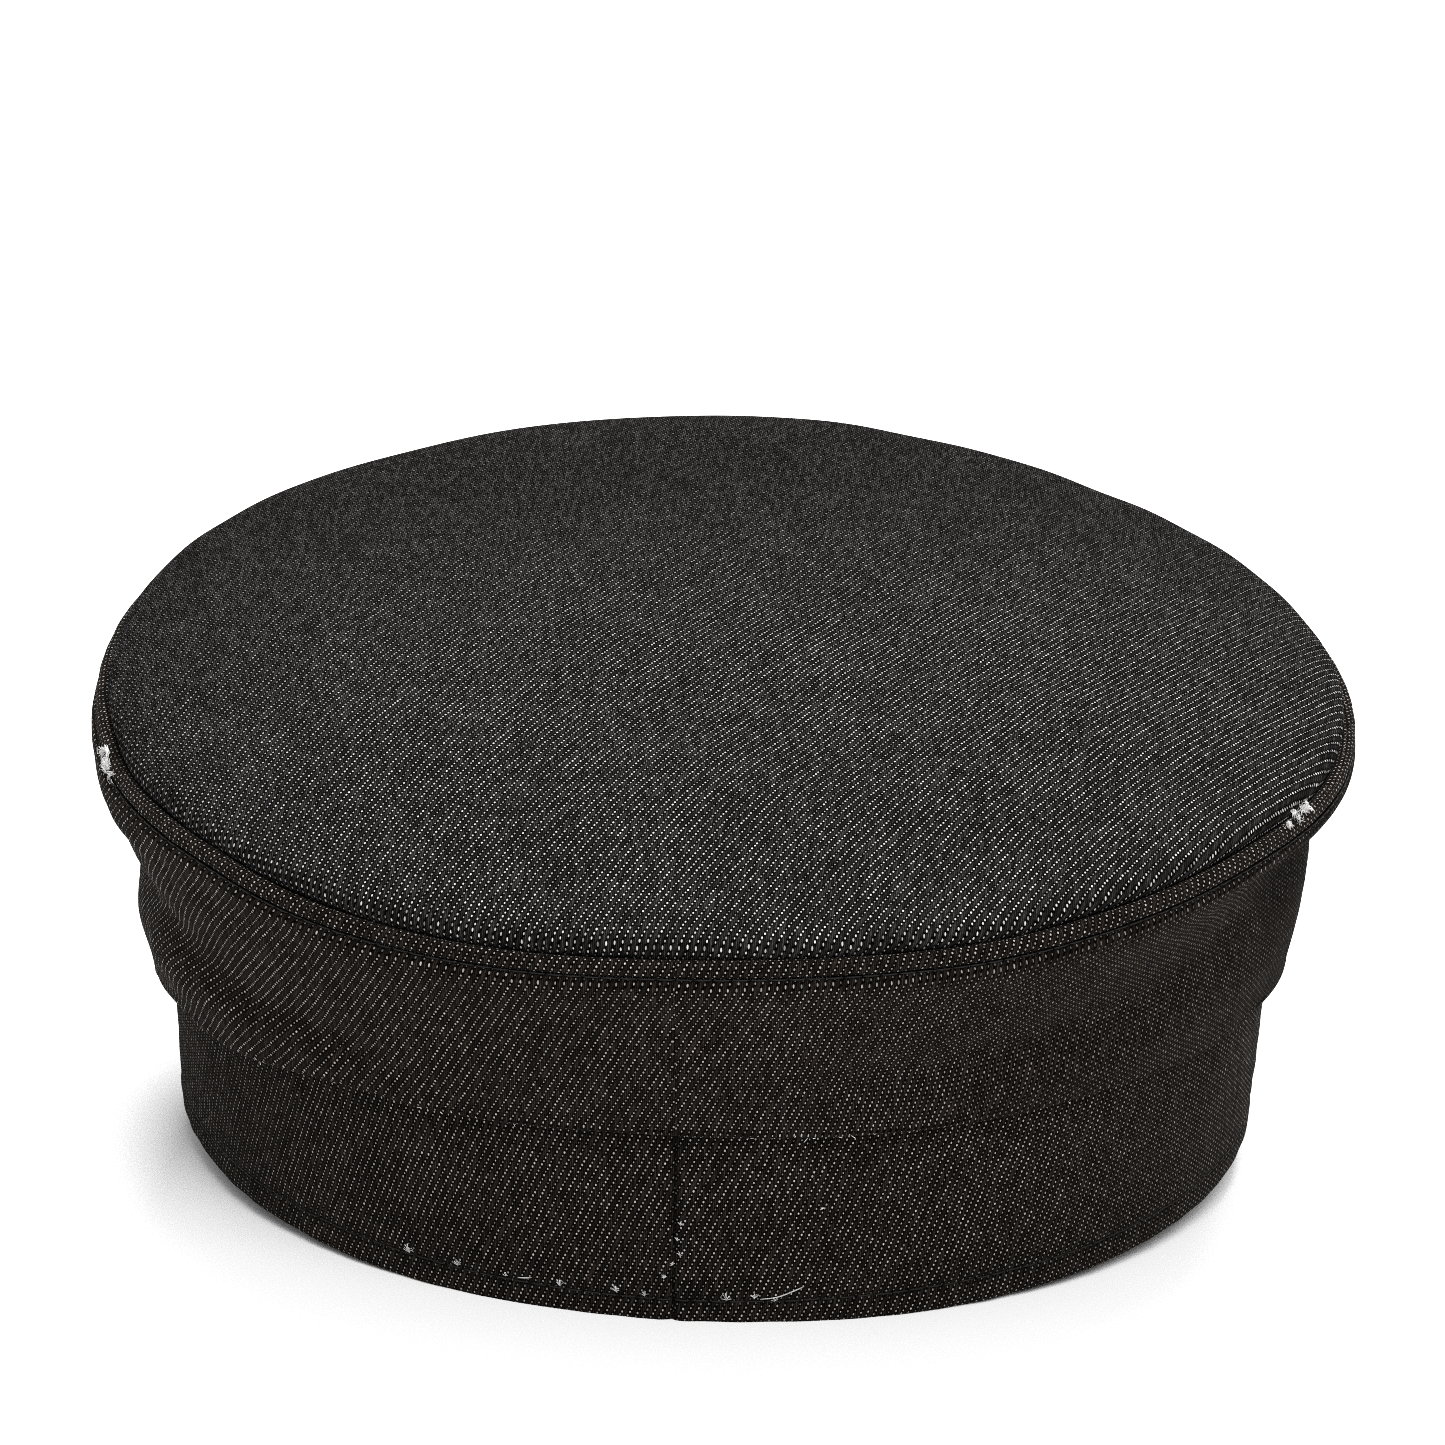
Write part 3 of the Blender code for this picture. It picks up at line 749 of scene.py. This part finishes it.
def make_side():
    """The side's sheet, its profile carried round, with the length along the profile as the warp's way.

    The warp threads lie further apart and slant where the cloth is drawn out on the left flank, and closer
    together where it is crowded beside the creases on the right.
    """
    angle = ring_angles(SIDE_ROWS, BACK_SEAM, SIDE_MIDDLE)
    radii, heights, turned = side_profile(angle)
    points = round_axis(angle[:, None], radii, heights)
    steps = np.hypot(np.diff(radii, axis=1), np.diff(heights, axis=1))
    length = np.concatenate([np.zeros((len(angle), 1)), np.cumsum(steps, axis=1)], axis=1)
    turn = (angle[:, None] + math.pi) % math.tau - math.pi
    drawn_out, crowded = (bell(turn - place, width) for place, width in (DRAWN_PLACE, CROWDED_PLACE))
    step = np.diff(angle, prepend=angle[0])[:, None]
    wide = SIDE_MIDDLE * np.cumsum(step * (1.0 - DRAWN_WARP * drawn_out + CROWDED_WARP * crowded), axis=0)
    length = length * (1.0 + DRAWN_WEFT * drawn_out - CROWDED_WEFT * crowded)
    wide = wide + DRAWN_SLANT * drawn_out * length
    weave = np.stack(np.broadcast_arrays(wide, -length - WEFT_SLOPE * wide), axis=-1)
    # Painted shade: the flecks dull a little everywhere, less where the cloth is drawn out, more on the right
    # flank, in the groove under the welt and under the fold.
    drop = heights[:, :1] - heights
    right_flank = sum(shade * eased(turn, start, end) for shade, start, end in RIGHT_SHADES)
    flank = SIDE_SHADE - DRAWN_SHADE * drawn_out + right_flank * (1.0 - eased(turn, *RIGHT_END))
    groove = GROOVE_SHADE * (1.0 - eased(drop, *GROOVE_DEPTHS))
    painted_shade = np.maximum(groove, UNDER_SHADE * eased(turned, *UNDER_TURN))
    painted_shade = np.maximum(painted_shade, flank)
    piece = cloth_mesh("soft_side", points, weave, painted_shade, ("rows",), [side_denim_shaded, denim_reverse])
    return walled(piece, SIDE_WALL)


side = make_side()
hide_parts("crown_side")
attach(side, "root")


# The welt, the rolled upper edge of the side's cloth. The seam allowances fill it, and a row of stitches
# under it holds the roll.
WELT_MIDDLE = SEAM_HEIGHT - WELT_HEIGHT / 2
ROLL_DEPTH = 0.0030
ROLL_INSET = 0.0007
ROLL_RADIUS = SIDE_TOP_RADIUS - ROLL_INSET
ROLL_UNEVENNESS = 0.05
ROLL_REACH = 0.002
WELT_ROWS = 600
WELT_STITCH_OUT = 0.00062
WELT_STITCH_LIFT = 0.0002

# Painted shade under the roll: how dull the flecks are there, and how far round its section that starts
# and ends.
ROLL_SHADE = 0.92
ROLL_SHADE_START = (1.0, 1.5)
ROLL_SHADE_END = (3.5, 4.0)


def make_welt():
    """The roll, an oval in section, carried round and lifted with the crown."""
    angle = ring_angles(WELT_ROWS, BACK_SEAM, SEAM_RADIUS)[:, None]
    swing = np.linspace(math.pi * 0.5, -math.pi * 1.5, 25)[None, :]
    soft = ripples(angle * SEAM_RADIUS, swing * ROLL_REACH, count=24, shortest=0.004, longest=0.02, seed=31)
    soft = 1.0 + ROLL_UNEVENNESS * soft
    radius = ROLL_RADIUS + ROLL_DEPTH / 2 * soft * np.cos(swing)
    height = WELT_MIDDLE + WELT_HEIGHT / 2 * np.sin(swing)
    height = height + crown_lift(angle, SIDE_TOP_RADIUS)
    points = round_axis(angle, radius, height)
    way = (swing + math.pi / 2) * (WELT_DEPTH + WELT_HEIGHT) / 4
    wide = angle * SIDE_MIDDLE
    weave = np.stack(np.broadcast_arrays(wide, way - WEFT_SLOPE * wide), axis=-1)
    points[-1], points[:, -1] = points[0], points[:, 0]
    # Painted shade under the roll.
    painted_shade = ROLL_SHADE * (eased(-swing, *ROLL_SHADE_START) - eased(-swing, *ROLL_SHADE_END))
    return cloth_mesh("welt", points, weave, painted_shade, ("rows", "columns"), [side_denim_shaded])


welt = make_welt()
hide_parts("crown_welt")
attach(welt, "root")

round_rim = np.linspace(0.0, math.tau, 1801)
rim_height = SIDE_TOP + WELT_STITCH_LIFT + crown_lift(round_rim, SIDE_TOP_RADIUS)
welt_stitches = ring_stitches("welt_stitches", SIDE_TOP_RADIUS + WELT_STITCH_OUT, rim_height, round_rim)
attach(welt_stitches, "root")


# The top, a disc of denim sewn inside the welt. It domes softly, swells out over the welt at its edge and
# curls under to its seam. Its warp runs from back to front.
TOP_WALL = 0.0016
TOP_RADIUS = 0.1047
TOP_OVERHANG = 0.0015
TOP_CURL = 0.0016
TOP_TUCK = 0.0034
TUCK_START = 0.0008
TOP_RIPPLE = 0.00022
TOP_ROWS = 400
INNER_RINGS = 0.80
OUTER_RINGS = 0.20
RING_CROWDING = 2.2
DOME_RISE = 0.0071
DOME_LEAN = 0.0016
DOME_FLATNESS = 3.0
DOME_SHOULDER = 0.50
NEAR_SWELL = 0.0028
NEAR_SWELL_EDGE = (0.6, 1.0)
NEAR_SWELL_FRONT = (-0.7, 0.5)

# Painted shade where the top curls under into the groove: how dull the flecks are there, and how far past
# its edge that starts and is full.
CURL_SHADE = 0.92
CURL_SHADE_DEPTHS = (0.0004, 0.0019)


def make_top():
    """The dome, whose height is rise (1 - s^flatness)^shoulder over the share s of the radius.

    It leans and ripples a little. Its edge stands above the seam by the overhang, curls in through a
    quarter of an oval, and ends in a short tuck straight down. The half over the back of the head stands
    fuller by the near swell, which eases out towards the edge and the front.
    """
    angle = np.linspace(0.0, math.tau, TOP_ROWS + 1)[:, None]
    from_rim = OUTER_RINGS * np.linspace(1.0, 0.0, 55)[1:] ** RING_CROWDING
    share = np.concatenate([np.linspace(0.0, INNER_RINGS, 52), 1.0 - from_rim])
    height = SEAM_HEIGHT + TOP_OVERHANG + DOME_RISE * (1.0 - share**DOME_FLATNESS) ** DOME_SHOULDER
    curl = np.linspace(0.0, math.pi / 2, 9)[1:]
    tuck = np.linspace(0.0, 1.0, 4)[1:]
    fall = TOP_OVERHANG + TUCK_START
    radius = np.concatenate([TOP_RADIUS * share, TOP_RADIUS - TOP_CURL * (1 - np.cos(curl)),
                             0 * tuck + TOP_RADIUS - TOP_CURL])
    height = np.concatenate([height, SEAM_HEIGHT + TOP_OVERHANG - fall * np.sin(curl),
                             SEAM_HEIGHT - TUCK_START - (TOP_TUCK - TUCK_START) * tuck])
    share = np.concatenate([share, 0 * curl + 1.0, 0 * tuck + 1.0])
    steps = np.hypot(np.diff(radius), np.diff(height))
    length = radius[0] + np.concatenate([[0.0], np.cumsum(steps)])
    lean = DOME_LEAN * np.cos(angle) * share * np.clip(1.0 - share**2, 0.0, 1.0)
    across, away = radius * np.sin(angle), -radius * np.cos(angle)
    fine = TOP_RIPPLE * ripples(across, away, count=30, shortest=0.012, longest=0.07, seed=41)
    swell = NEAR_SWELL * (1.0 - eased(share, *NEAR_SWELL_EDGE))
    swell = swell * eased(share * np.cos(angle), *NEAR_SWELL_FRONT)
    lift = height + lean + swell + crown_lift(angle, radius) + fine
    points = round_axis(angle, radius, lift)
    weave = np.stack([length * np.sin(angle), -length * np.cos(angle)], axis=-1)
    # Painted shade where the top curls down into the groove.
    from_edge = length - length[-1 - len(tuck) - len(curl)]
    painted_shade = CURL_SHADE * eased(from_edge, *CURL_SHADE_DEPTHS)
    piece = cloth_mesh("round_top", points, weave, painted_shade, ("rows",), [top_denim, denim_reverse])
    return walled(closed_poles(piece), TOP_WALL)


top = make_top()
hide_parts("crown_top")
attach(top, "root")


# The peak, a stiff board covered with denim on both faces and sewn under the band's front edge. It slopes
# down to its outer edge, on which the hat rests, and two rows of stitches follow that edge.
PEAK_DEPTH = 0.042
PEAK_HALF_ANGLE = math.radians(62)
PEAK_SLOPE = math.radians(20)
PEAK_WALL = 0.0026
PEAK_SEAT = 0.0022
PEAK_FULLNESS = 0.75
PEAK_TIP = 0.006
PEAK_RIPPLE = 0.00007
PEAK_MIDDLE = 0.11
PEAK_ACROSS = 0.04
PEAK_ROWS = 320

# The peak's weave is laid from above, and its map starts this far before the hat's middle, in metres.
WEAVE_START = 0.5

# The rows of stitches: how far each lies from the edge, how the cloth dips and its flecks dull there with
# painted shade, with half widths, how much peak must be left beyond a row, and how deep the thread lies.
PEAK_ROW_DEPTHS = (0.0025, 0.0085)
ROW_DIP = (0.00028, 0.0006)
ROW_SHADE = (0.85, 0.0005)
ROW_END = 0.003
ROW_SINK = 0.00022


def peak_place(angle, out, lift):
    """A point at an angle from the back, that far out from the seat and above the board's middle layer."""
    radius = BAND_OUTER - PEAK_SEAT + out * math.cos(PEAK_SLOPE)
    radius = radius + (PEAK_WALL / 2 + lift) * math.sin(PEAK_SLOPE)
    height = -SEAM_GAP - out * math.sin(PEAK_SLOPE) - PEAK_WALL / 2 / math.cos(PEAK_SLOPE)
    return round_axis(angle, radius, height + lift * math.cos(PEAK_SLOPE))


def peak_reach(angle):
    """How far the peak stands out at an angle, a full crescent that ends at its two corners."""
    share = np.clip(np.abs(angle - math.pi) / PEAK_HALF_ANGLE, 0.0, 1.0)
    return PEAK_SEAT + PEAK_DEPTH * (1.0 - share**2) ** PEAK_FULLNESS


def make_peak():
    """The board's section, two faces and two round edges, carried along the crescent and closed at its ends.

    Both faces stand proud by half the wall, swell softly between the rows of stitches and dip in them.
    """
    angle = np.linspace(math.pi - PEAK_HALF_ANGLE, math.pi + PEAK_HALF_ANGLE, PEAK_ROWS + 1)[:, None]
    reach = peak_reach(angle)
    half = PEAK_WALL / 2
    share = np.concatenate([np.linspace(0.0, 0.72, 22), np.linspace(0.72, 1.0, 44)[1:]])
    edge = np.linspace(math.pi / 2, -math.pi / 2, 11)[1:-1]
    from_edge = (1.0 - share) * (reach - 2 * half)
    dip = sum(ridge(from_edge + half - depth, ROW_DIP) for depth in PEAK_ROW_DEPTHS)
    ends = eased(reach, PEAK_SEAT, PEAK_SEAT + PEAK_TIP)
    face = half - dip * ends
    around, across = angle * PEAK_MIDDLE, share * PEAK_ACROSS
    soft = PEAK_RIPPLE * ripples(around, across, count=20, shortest=0.006, longest=0.03, seed=51) * ends
    out = half + share * (reach - 2 * half)
    round_in = half - half * np.cos(edge) + 0 * reach
    outs = [out, reach - half + half * np.cos(edge), out[:, ::-1], round_in, out[:, :1]]
    lifts = [face + soft, half * np.sin(edge) + 0 * reach, (-face)[:, ::-1], -half * np.sin(edge) + 0 * reach,
             (face + soft)[:, :1]]
    out, lift = np.concatenate(outs, axis=1), np.concatenate(lifts, axis=1)
    close = np.ones_like(angle)
    close[[0, -1]] = 0.0
    points = peak_place(angle, half + (out - half) * close, lift * close)
    weave = points[..., :2] + WEAVE_START
    points[:, -1] = points[:, 0]
    # Painted shade in the rows of stitches.
    painted_shade = sum(ridge(from_edge + half - depth, ROW_SHADE) for depth in PEAK_ROW_DEPTHS) * ends
    edges = np.zeros((len(angle), len(edge)))
    painted_shade = np.concatenate([painted_shade, edges, painted_shade[:, ::-1], edges, painted_shade[:, :1]], axis=1)
    return closed_poles(cloth_mesh("peak_board", points, weave, painted_shade, ("columns",), [side_denim_shaded]))


def peak_rows():
    """The stitches of each row on both faces, along the crescent as far as it is deep enough for the row."""
    paths = []
    for depth in PEAK_ROW_DEPTHS:
        angle = np.linspace(math.pi - PEAK_HALF_ANGLE, math.pi + PEAK_HALF_ANGLE, 1201)
        angle = angle[peak_reach(angle) > depth + ROW_END]
        out = peak_reach(angle) - depth
        for face in (1.0, -1.0):
            line = peak_place(angle, out, face * (PEAK_WALL / 2 - ROW_SINK))
            away = peak_place(angle, out, face) - peak_place(angle, out, 0.0)
            paths.append(stitches(line, away))
    return thread_mesh("peak_stitches", np.concatenate(paths), STITCH_THREAD, sewing_thread)


peak = make_peak()
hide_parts("peak")
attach(peak, "root")

peak_stitches = peak_rows()
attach(peak_stitches, "root")


# Loose threads. White weft has frayed out of the welt at two places and shows as tufts at needle holes in
# the hem, along the back seam and under the fold. A few ends of black sewing thread stand off the welt.
# Angles are in degrees from the back, and distances here in millimetres, but for the threads' thickness.
FRAY_THREAD = 0.00008
FRAY_SIZES = (0.6, 1.3)
LINT_SIZES = (0.8, 1.4)
HAIR_THREAD = 0.00007
DARK_THREAD = 0.00025
FRAY_COPIES = 12
FRAY_SPREAD = 0.30
FRAY_STRETCH = (0.6, 20.0, 0.7)
TANGLE_STRETCH = (0.8, 0.8, 1.2)

# Each fray runs over the welt through points at an angle, a place round the roll's section and a height
# above it.
FRAYS = (
    ((-71.2, 18, 0.3), (-73.4, -18, 0.3), (-74.1, -3, 0.3), (-73.7, 33, 0.4), (-72.7, 54, 0.4),
     (-72.2, 33, 0.3)),
    ((-70.7, 18, 0.3), (-72.5, -18, 0.3), (-73.1, -18, 0.4), (-72.6, 21, 0.3), (-71.7, 33, 0.2)),
    ((-72.3, -3, 0.3), (-71.8, -21, 0.4), (-71.1, -21, 0.3), (-69.3, 30, 0.3)),
    ((-71.2, -48, 0.3), (-70.9, -30, 0.4), (-70.3, -24, 0.4), (-69.8, -30, 0.4), (-70.0, -24, 0.3)),
    ((-72.6, 48, 0.3), (-73.3, 52, 0.4), (-74.0, 51, 0.3)),
    ((71.0, 93, 0.4), (70.4, 84, 0.6), (69.8, 75, 0.3)),
    ((70.9, 84, 0.4), (70.8, 66, 0.7), (71.2, 50, 0.3)),
    ((69.0, 100, 0.4), (68.5, 95, 1.2), (67.9, 80, 0.7)),
)

# Tangles of the same threads: angle, place round the roll, height above it, size and how many threads.
TANGLES = (
    (-71.6, 2, 0.5, 0.58, 34),
    (-74.2, 14, 0.4, 0.40, 12),
    (70.4, 78, 0.9, 0.44, 34),
    (66.4, 62, 0.5, 0.36, 20),
    (68.4, 70, 0.6, 0.60, 8),
)

# Fine hairs and black thread ends in the same way.
HAIRS = (
    ((70.4, 140, 4.0), (69.8, 140, 3.2), (69.9, 140, 1.9), (70.4, 140, 1.3), (69.8, 140, 0.8)),
)
DARK_ENDS = (
    ((-71.0, -10, 0.2), (-71.8, -5, 0.9), (-72.8, 5, 0.2)),
    ((-68.4, -20, 0.2), (-69.2, -10, 0.8), (-70.2, 0, 0.2)),
    ((-114.6, 70, 0.1), (-113.8, 80, 0.9), (-112.6, 85, 1.0), (-111.8, 80, 0.1)),
    ((90.2, 60, 0.1), (91.2, 75, 0.9), (92.2, 80, 0.2)),
)

# Tufts on the band: angle, height, size and how many threads. Then how their threads lie: half the fan
# that they make, in radians, the shares of their length that are bent, and how high and how far off the
# cloth each bend is.
TUFTS = (
    (-29.5, 5.3, 0.95, 10), (-23.5, 5.6, 0.6, 6), (-18.0, 5.5, 0.55, 6), (-12.0, 5.4, 0.85, 8),
    (-6.0, 5.7, 0.8, 8), (-3.0, 5.5, 0.5, 6), (5.5, 5.4, 0.8, 8), (8.4, 5.6, 0.7, 7),
    (10.5, 5.0, 0.6, 5), (15.0, 22.5, 0.35, 5), (0.6, 19.5, 0.40, 6), (0.3, 16.4, 0.40, 6),
    (0.6, 13.7, 0.45, 6), (-0.2, 11.6, 0.40, 6), (-1.0, 9.2, 0.45, 6),
)
TUFT_FAN = 1.3
TUFT_STRAY = 0.3
TUFT_REACH = (0.6, 1.1)
TUFT_WIDTH = 1.25
TUFT_LEAN = 0.8
TUFT_LIFT = 0.15
TUFT_BENDS = np.array([0.0, 0.35, 0.75, 1.0])
TUFT_HEIGHTS = np.array([-0.4, 1.3, 2.1, 1.4])
TUFT_OUTS = np.array([-0.1, 0.25, 0.30, 0.1])

# Double threads that lie on the band: the angle and height of three points on each.
LAID = (
    ((-16.6, 5.7), (-15.7, 5.9), (-14.9, 6.3)),
    ((9.0, 5.4), (11.0, 6.0), (13.4, 7.6)),
)
LAID_APART = 0.12
LAID_LIFT = 0.15

# Ends at the fold: three chosen angles, and others by chance between two angles, nine and eight of them.
# Then how far an end reaches round the hat, in radians, and up or down.
FOLD_ENDS = (-48.4, -48.0, -47.4)
FOLD_NEAR_BACK = (-5.0, 19.0, 9)
FOLD_ALL_ROUND = (-50, 60, 8)
FOLD_END_TURN = 0.008
FOLD_END_DRIFT = 0.8

# Where the ends lie on the fold: how far it has turned under there, in radians, and how far out and down
# from the middle of its wall they are, as shares of the wall.
FOLD_END_TURNED = 0.3
FOLD_END_OUT = 0.4
FOLD_END_DOWN = 0.35
FOLD_END_PROUD = 0.0001


def smooth_path(knots, count):
    """Evenly read points of a smooth curve through a path's knots."""
    return smooth_through(list(np.array(knots, dtype=float)), np.linspace(0.0, 1.0, count)).T


def on_welt(knots):
    """Points over the welt: its section's oval, grown by the height above it, at each angle."""
    angle, swing = np.radians(knots[:, 0]), np.radians(knots[:, 1])
    above = knots[:, 2] / 1000
    radius = ROLL_RADIUS + (ROLL_DEPTH / 2 + above) * np.cos(swing)
    height = WELT_MIDDLE + (WELT_HEIGHT / 2 + above) * np.sin(swing) + crown_lift(angle, SIDE_TOP_RADIUS)
    return round_axis(angle, radius, height)


def tangle_paths(pick, angle, swing, above, size, count):
    """Threads through five random places each, scattered round a point over the welt and taller than wide."""
    middle = on_welt(np.array([[angle, swing, above]], dtype=float))
    knots = middle + pick.normal(0.0, size / 1000, (count, 5, 3)) * TANGLE_STRETCH
    return [smooth_path(path, 8) for path in knots]


def on_band(angle, height, above):
    """Points at an angle, a height up the band and a distance off its outer face."""
    angle, height, above = np.radians(angle), np.asarray(height) / 1000, np.asarray(above) / 1000
    return round_axis(angle, band_face(height) + band_relief(angle, height) + above, height)


def tuft_paths(pick, angle, height, size, count):
    """Threads that fan out upward from a needle hole, bend over and droop to either side."""
    fan = np.linspace(-TUFT_FAN, TUFT_FAN, count) + pick.uniform(-TUFT_STRAY, TUFT_STRAY, count)
    reach = size * pick.uniform(*TUFT_REACH, count)
    aside = reach[:, None] * np.sin(fan)[:, None] * TUFT_BENDS * TUFT_WIDTH
    up = reach[:, None] * np.cos(fan * TUFT_LEAN)[:, None] * TUFT_HEIGHTS
    out = TUFT_OUTS + pick.uniform(0.0, TUFT_LIFT, (count, 1))
    turn = np.degrees(aside / 1000 / BAND_MIDDLE)
    return on_band(angle + turn, height + up, out)


def make_frays():
    """Every white thread: frays with their scattered copies, tufts, and the threads that lie on the band."""
    pick = np.random.default_rng(61)
    paths = []
    for knots in FRAYS:
        for _ in range(FRAY_COPIES):
            spread = pick.normal(0.0, FRAY_SPREAD, (len(knots), 3)) * FRAY_STRETCH
            spread[:, 2] = np.abs(spread[:, 2])
            paths.append(on_welt(smooth_path(np.array(knots) + spread, 8)))
    for tangle in TANGLES:
        paths += tangle_paths(pick, *tangle)
    for angle, height, size, count in TUFTS:
        paths += [smooth_path(path, 8) for path in tuft_paths(pick, angle, height, size, count)]
    for knots in LAID:
        line = smooth_path(knots, 8)
        paths += [on_band(line[:, 0], line[:, 1] + offset, LAID_LIFT) for offset in (0.0, LAID_APART)]
    thickness = FRAY_THREAD * pick.uniform(*FRAY_SIZES, len(paths))
    return thread_mesh("frayed_weft", paths, thickness, bare_weft)


def make_fold_bits():
    """Short white ends along the fold's lower edge, a little proud of the cloth's outer face."""
    pick = np.random.default_rng(62)
    angle = [pick.uniform(*FOLD_NEAR_BACK), FOLD_ENDS, pick.uniform(*FOLD_ALL_ROUND)]
    reach = np.linspace(0.0, FOLD_END_TURN, 4)
    paths = []
    for place in np.radians(np.concatenate(angle)):
        radii, heights, turned = side_profile(place + reach * pick.uniform(-1.0, 1.0))
        column = int(np.searchsorted(turned, FOLD_END_TURNED + pick.random()))
        drift = np.linspace(0.0, 1.0, 4) * pick.uniform(-FOLD_END_DRIFT, FOLD_END_DRIFT) / 1000
        around = place + reach * pick.uniform(-1.0, 1.0)
        out = radii[:, column] + SIDE_WALL * FOLD_END_OUT + FOLD_END_PROUD
        path = round_axis(around, out, heights[:, column] - SIDE_WALL * FOLD_END_DOWN + drift)
        paths.append(smooth_path(path, 8))
    return thread_mesh("fold_lint", paths, FRAY_THREAD * pick.uniform(*LINT_SIZES, len(paths)), bare_weft)


bare_weft = yarn("bare_white_weft", (0.30, 0.30, 0.30), (0.85, 0.84, 0.83), 0.85)
frayed_weft = make_frays()
fold_lint = make_fold_bits()
hairs = [on_welt(smooth_path(knots, 12)) for knots in HAIRS]
hairs = thread_mesh("welt_hair", hairs, HAIR_THREAD, bare_weft)
dark_ends = [on_welt(smooth_path(knots, 10)) for knots in DARK_ENDS]
dark_ends = thread_mesh("thread_ends", dark_ends, DARK_THREAD, sewing_thread)
for piece in (frayed_weft, fold_lint, hairs, dark_ends):
    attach(piece, "root")


# The floor and the light: a pale studio floor under two broad soft lamps, one above and in front of the
# hat and one behind it on the camera's side, with a white sky all round.
FLOOR_HALF = 6
FLOOR_GREYS = ((0.90, 0.90, 0.90, 1.0), (0.92, 0.92, 0.92, 1.0))
FLOOR_GRAIN = 40.0
FLOOR_ROUGHNESS = 0.7
FLOOR_GLOSS = 0.2
LAMP_SIZE = 1.2
KEY_POWER = 78.0
KEY_PLACE = (0.07, 0.80, 2.05)
FILL_POWER = 46.0
FILL_PLACE = (0.46, -1.48, 1.56)
SKY_STRENGTH = 0.72


def make_floor():
    """A flat square of pale matt board, larger than any view of the hat."""
    mesh = bpy.data.meshes.new("floor")
    corners = [(x * FLOOR_HALF, y * FLOOR_HALF, 0) for x, y in ((-1, -1), (1, -1), (1, 1), (-1, 1))]
    mesh.from_pydata(corners, [], [(0, 1, 2, 3)])
    g = Graph("pale_floor")
    grain = g.noise(g.add("TexCoord").outputs["Object"], FLOOR_GRAIN)
    g.link(g.mix(grain, *FLOOR_GREYS), g.shader.inputs["Base Color"])
    g.shader.inputs["Roughness"].default_value = FLOOR_ROUGHNESS
    g.shader.inputs["Specular IOR Level"].default_value = FLOOR_GLOSS
    mesh.materials.append(g.material)
    floor = bpy.data.objects.new("floor", mesh)
    bpy.context.scene.collection.objects.link(floor)
    return floor


def make_lamp(name, place, size, power):
    """A square soft lamp aimed at the hat."""
    lamp = bpy.data.lights.new(name, "AREA")
    lamp.size = size
    lamp.energy = power
    holder = bpy.data.objects.new(name, lamp)
    holder.location = place
    holder.rotation_euler = Vector(place).to_track_quat("Z", "Y").to_euler()
    bpy.context.scene.collection.objects.link(holder)
    return holder


make_floor()
make_lamp("key", KEY_PLACE, LAMP_SIZE, KEY_POWER)
make_lamp("fill", FILL_PLACE, LAMP_SIZE, FILL_POWER)
world = bpy.data.worlds.new("studio")
world.use_nodes = True
world.node_tree.nodes["Background"].inputs[0].default_value = (1.0, 1.0, 1.0, 1.0)
world.node_tree.nodes["Background"].inputs[1].default_value = SKY_STRENGTH
bpy.context.scene.world = world
bpy.context.scene.view_settings.view_transform = "Standard"

# Single white flecks stay crisp only with a narrow pixel filter and without the denoiser.
bpy.context.scene.cycles.filter_width = 1.0
bpy.context.scene.cycles.use_denoising = False


# The camera, a long lens behind the hat and a little above it, turned slightly in its mount. It aims at
# the point above the band's lower edge that lies in the middle of the picture.
CAMERA_AZIMUTH = math.radians(3.7)
CAMERA_ELEVATION = math.radians(20.2)
CAMERA_DISTANCE = 2.5
CAMERA_ROLL = math.radians(1.87)
PICTURE_PIXELS = 1445
FOCAL_PIXELS = 14452
SENSOR_WIDTH = 36.0
AIM_RIGHT = 0.0012
AIM_UP = 0.0644


def make_camera():
    """The camera, placed by its angles from the band's middle and turned about its own line of sight."""
    azimuth, elevation = CAMERA_AZIMUTH, CAMERA_ELEVATION
    back = Vector((math.sin(azimuth) * math.cos(elevation), -math.cos(azimuth) * math.cos(elevation),
                   math.sin(elevation)))
    right = Vector((math.cos(azimuth), math.sin(azimuth), 0.0))
    right = Matrix.Rotation(CAMERA_ROLL, 3, back) @ right
    up = back.cross(right)
    middle = Vector(HAT_PLACE)
    place = middle + CAMERA_DISTANCE * back
    aim = middle + AIM_RIGHT * right + AIM_UP * up
    back = (place - aim).normalized()
    right = up.cross(back).normalized()
    up = back.cross(right)
    data = bpy.data.cameras.new("camera")
    data.sensor_width = SENSOR_WIDTH
    data.lens = SENSOR_WIDTH * FOCAL_PIXELS / PICTURE_PIXELS
    data.clip_end = 50.0
    camera = bpy.data.objects.new("camera", data)
    camera.matrix_world = Matrix.Translation(place) @ Matrix((right, up, back)).transposed().to_4x4()
    bpy.context.scene.collection.objects.link(camera)
    bpy.context.scene.camera = camera


make_camera()
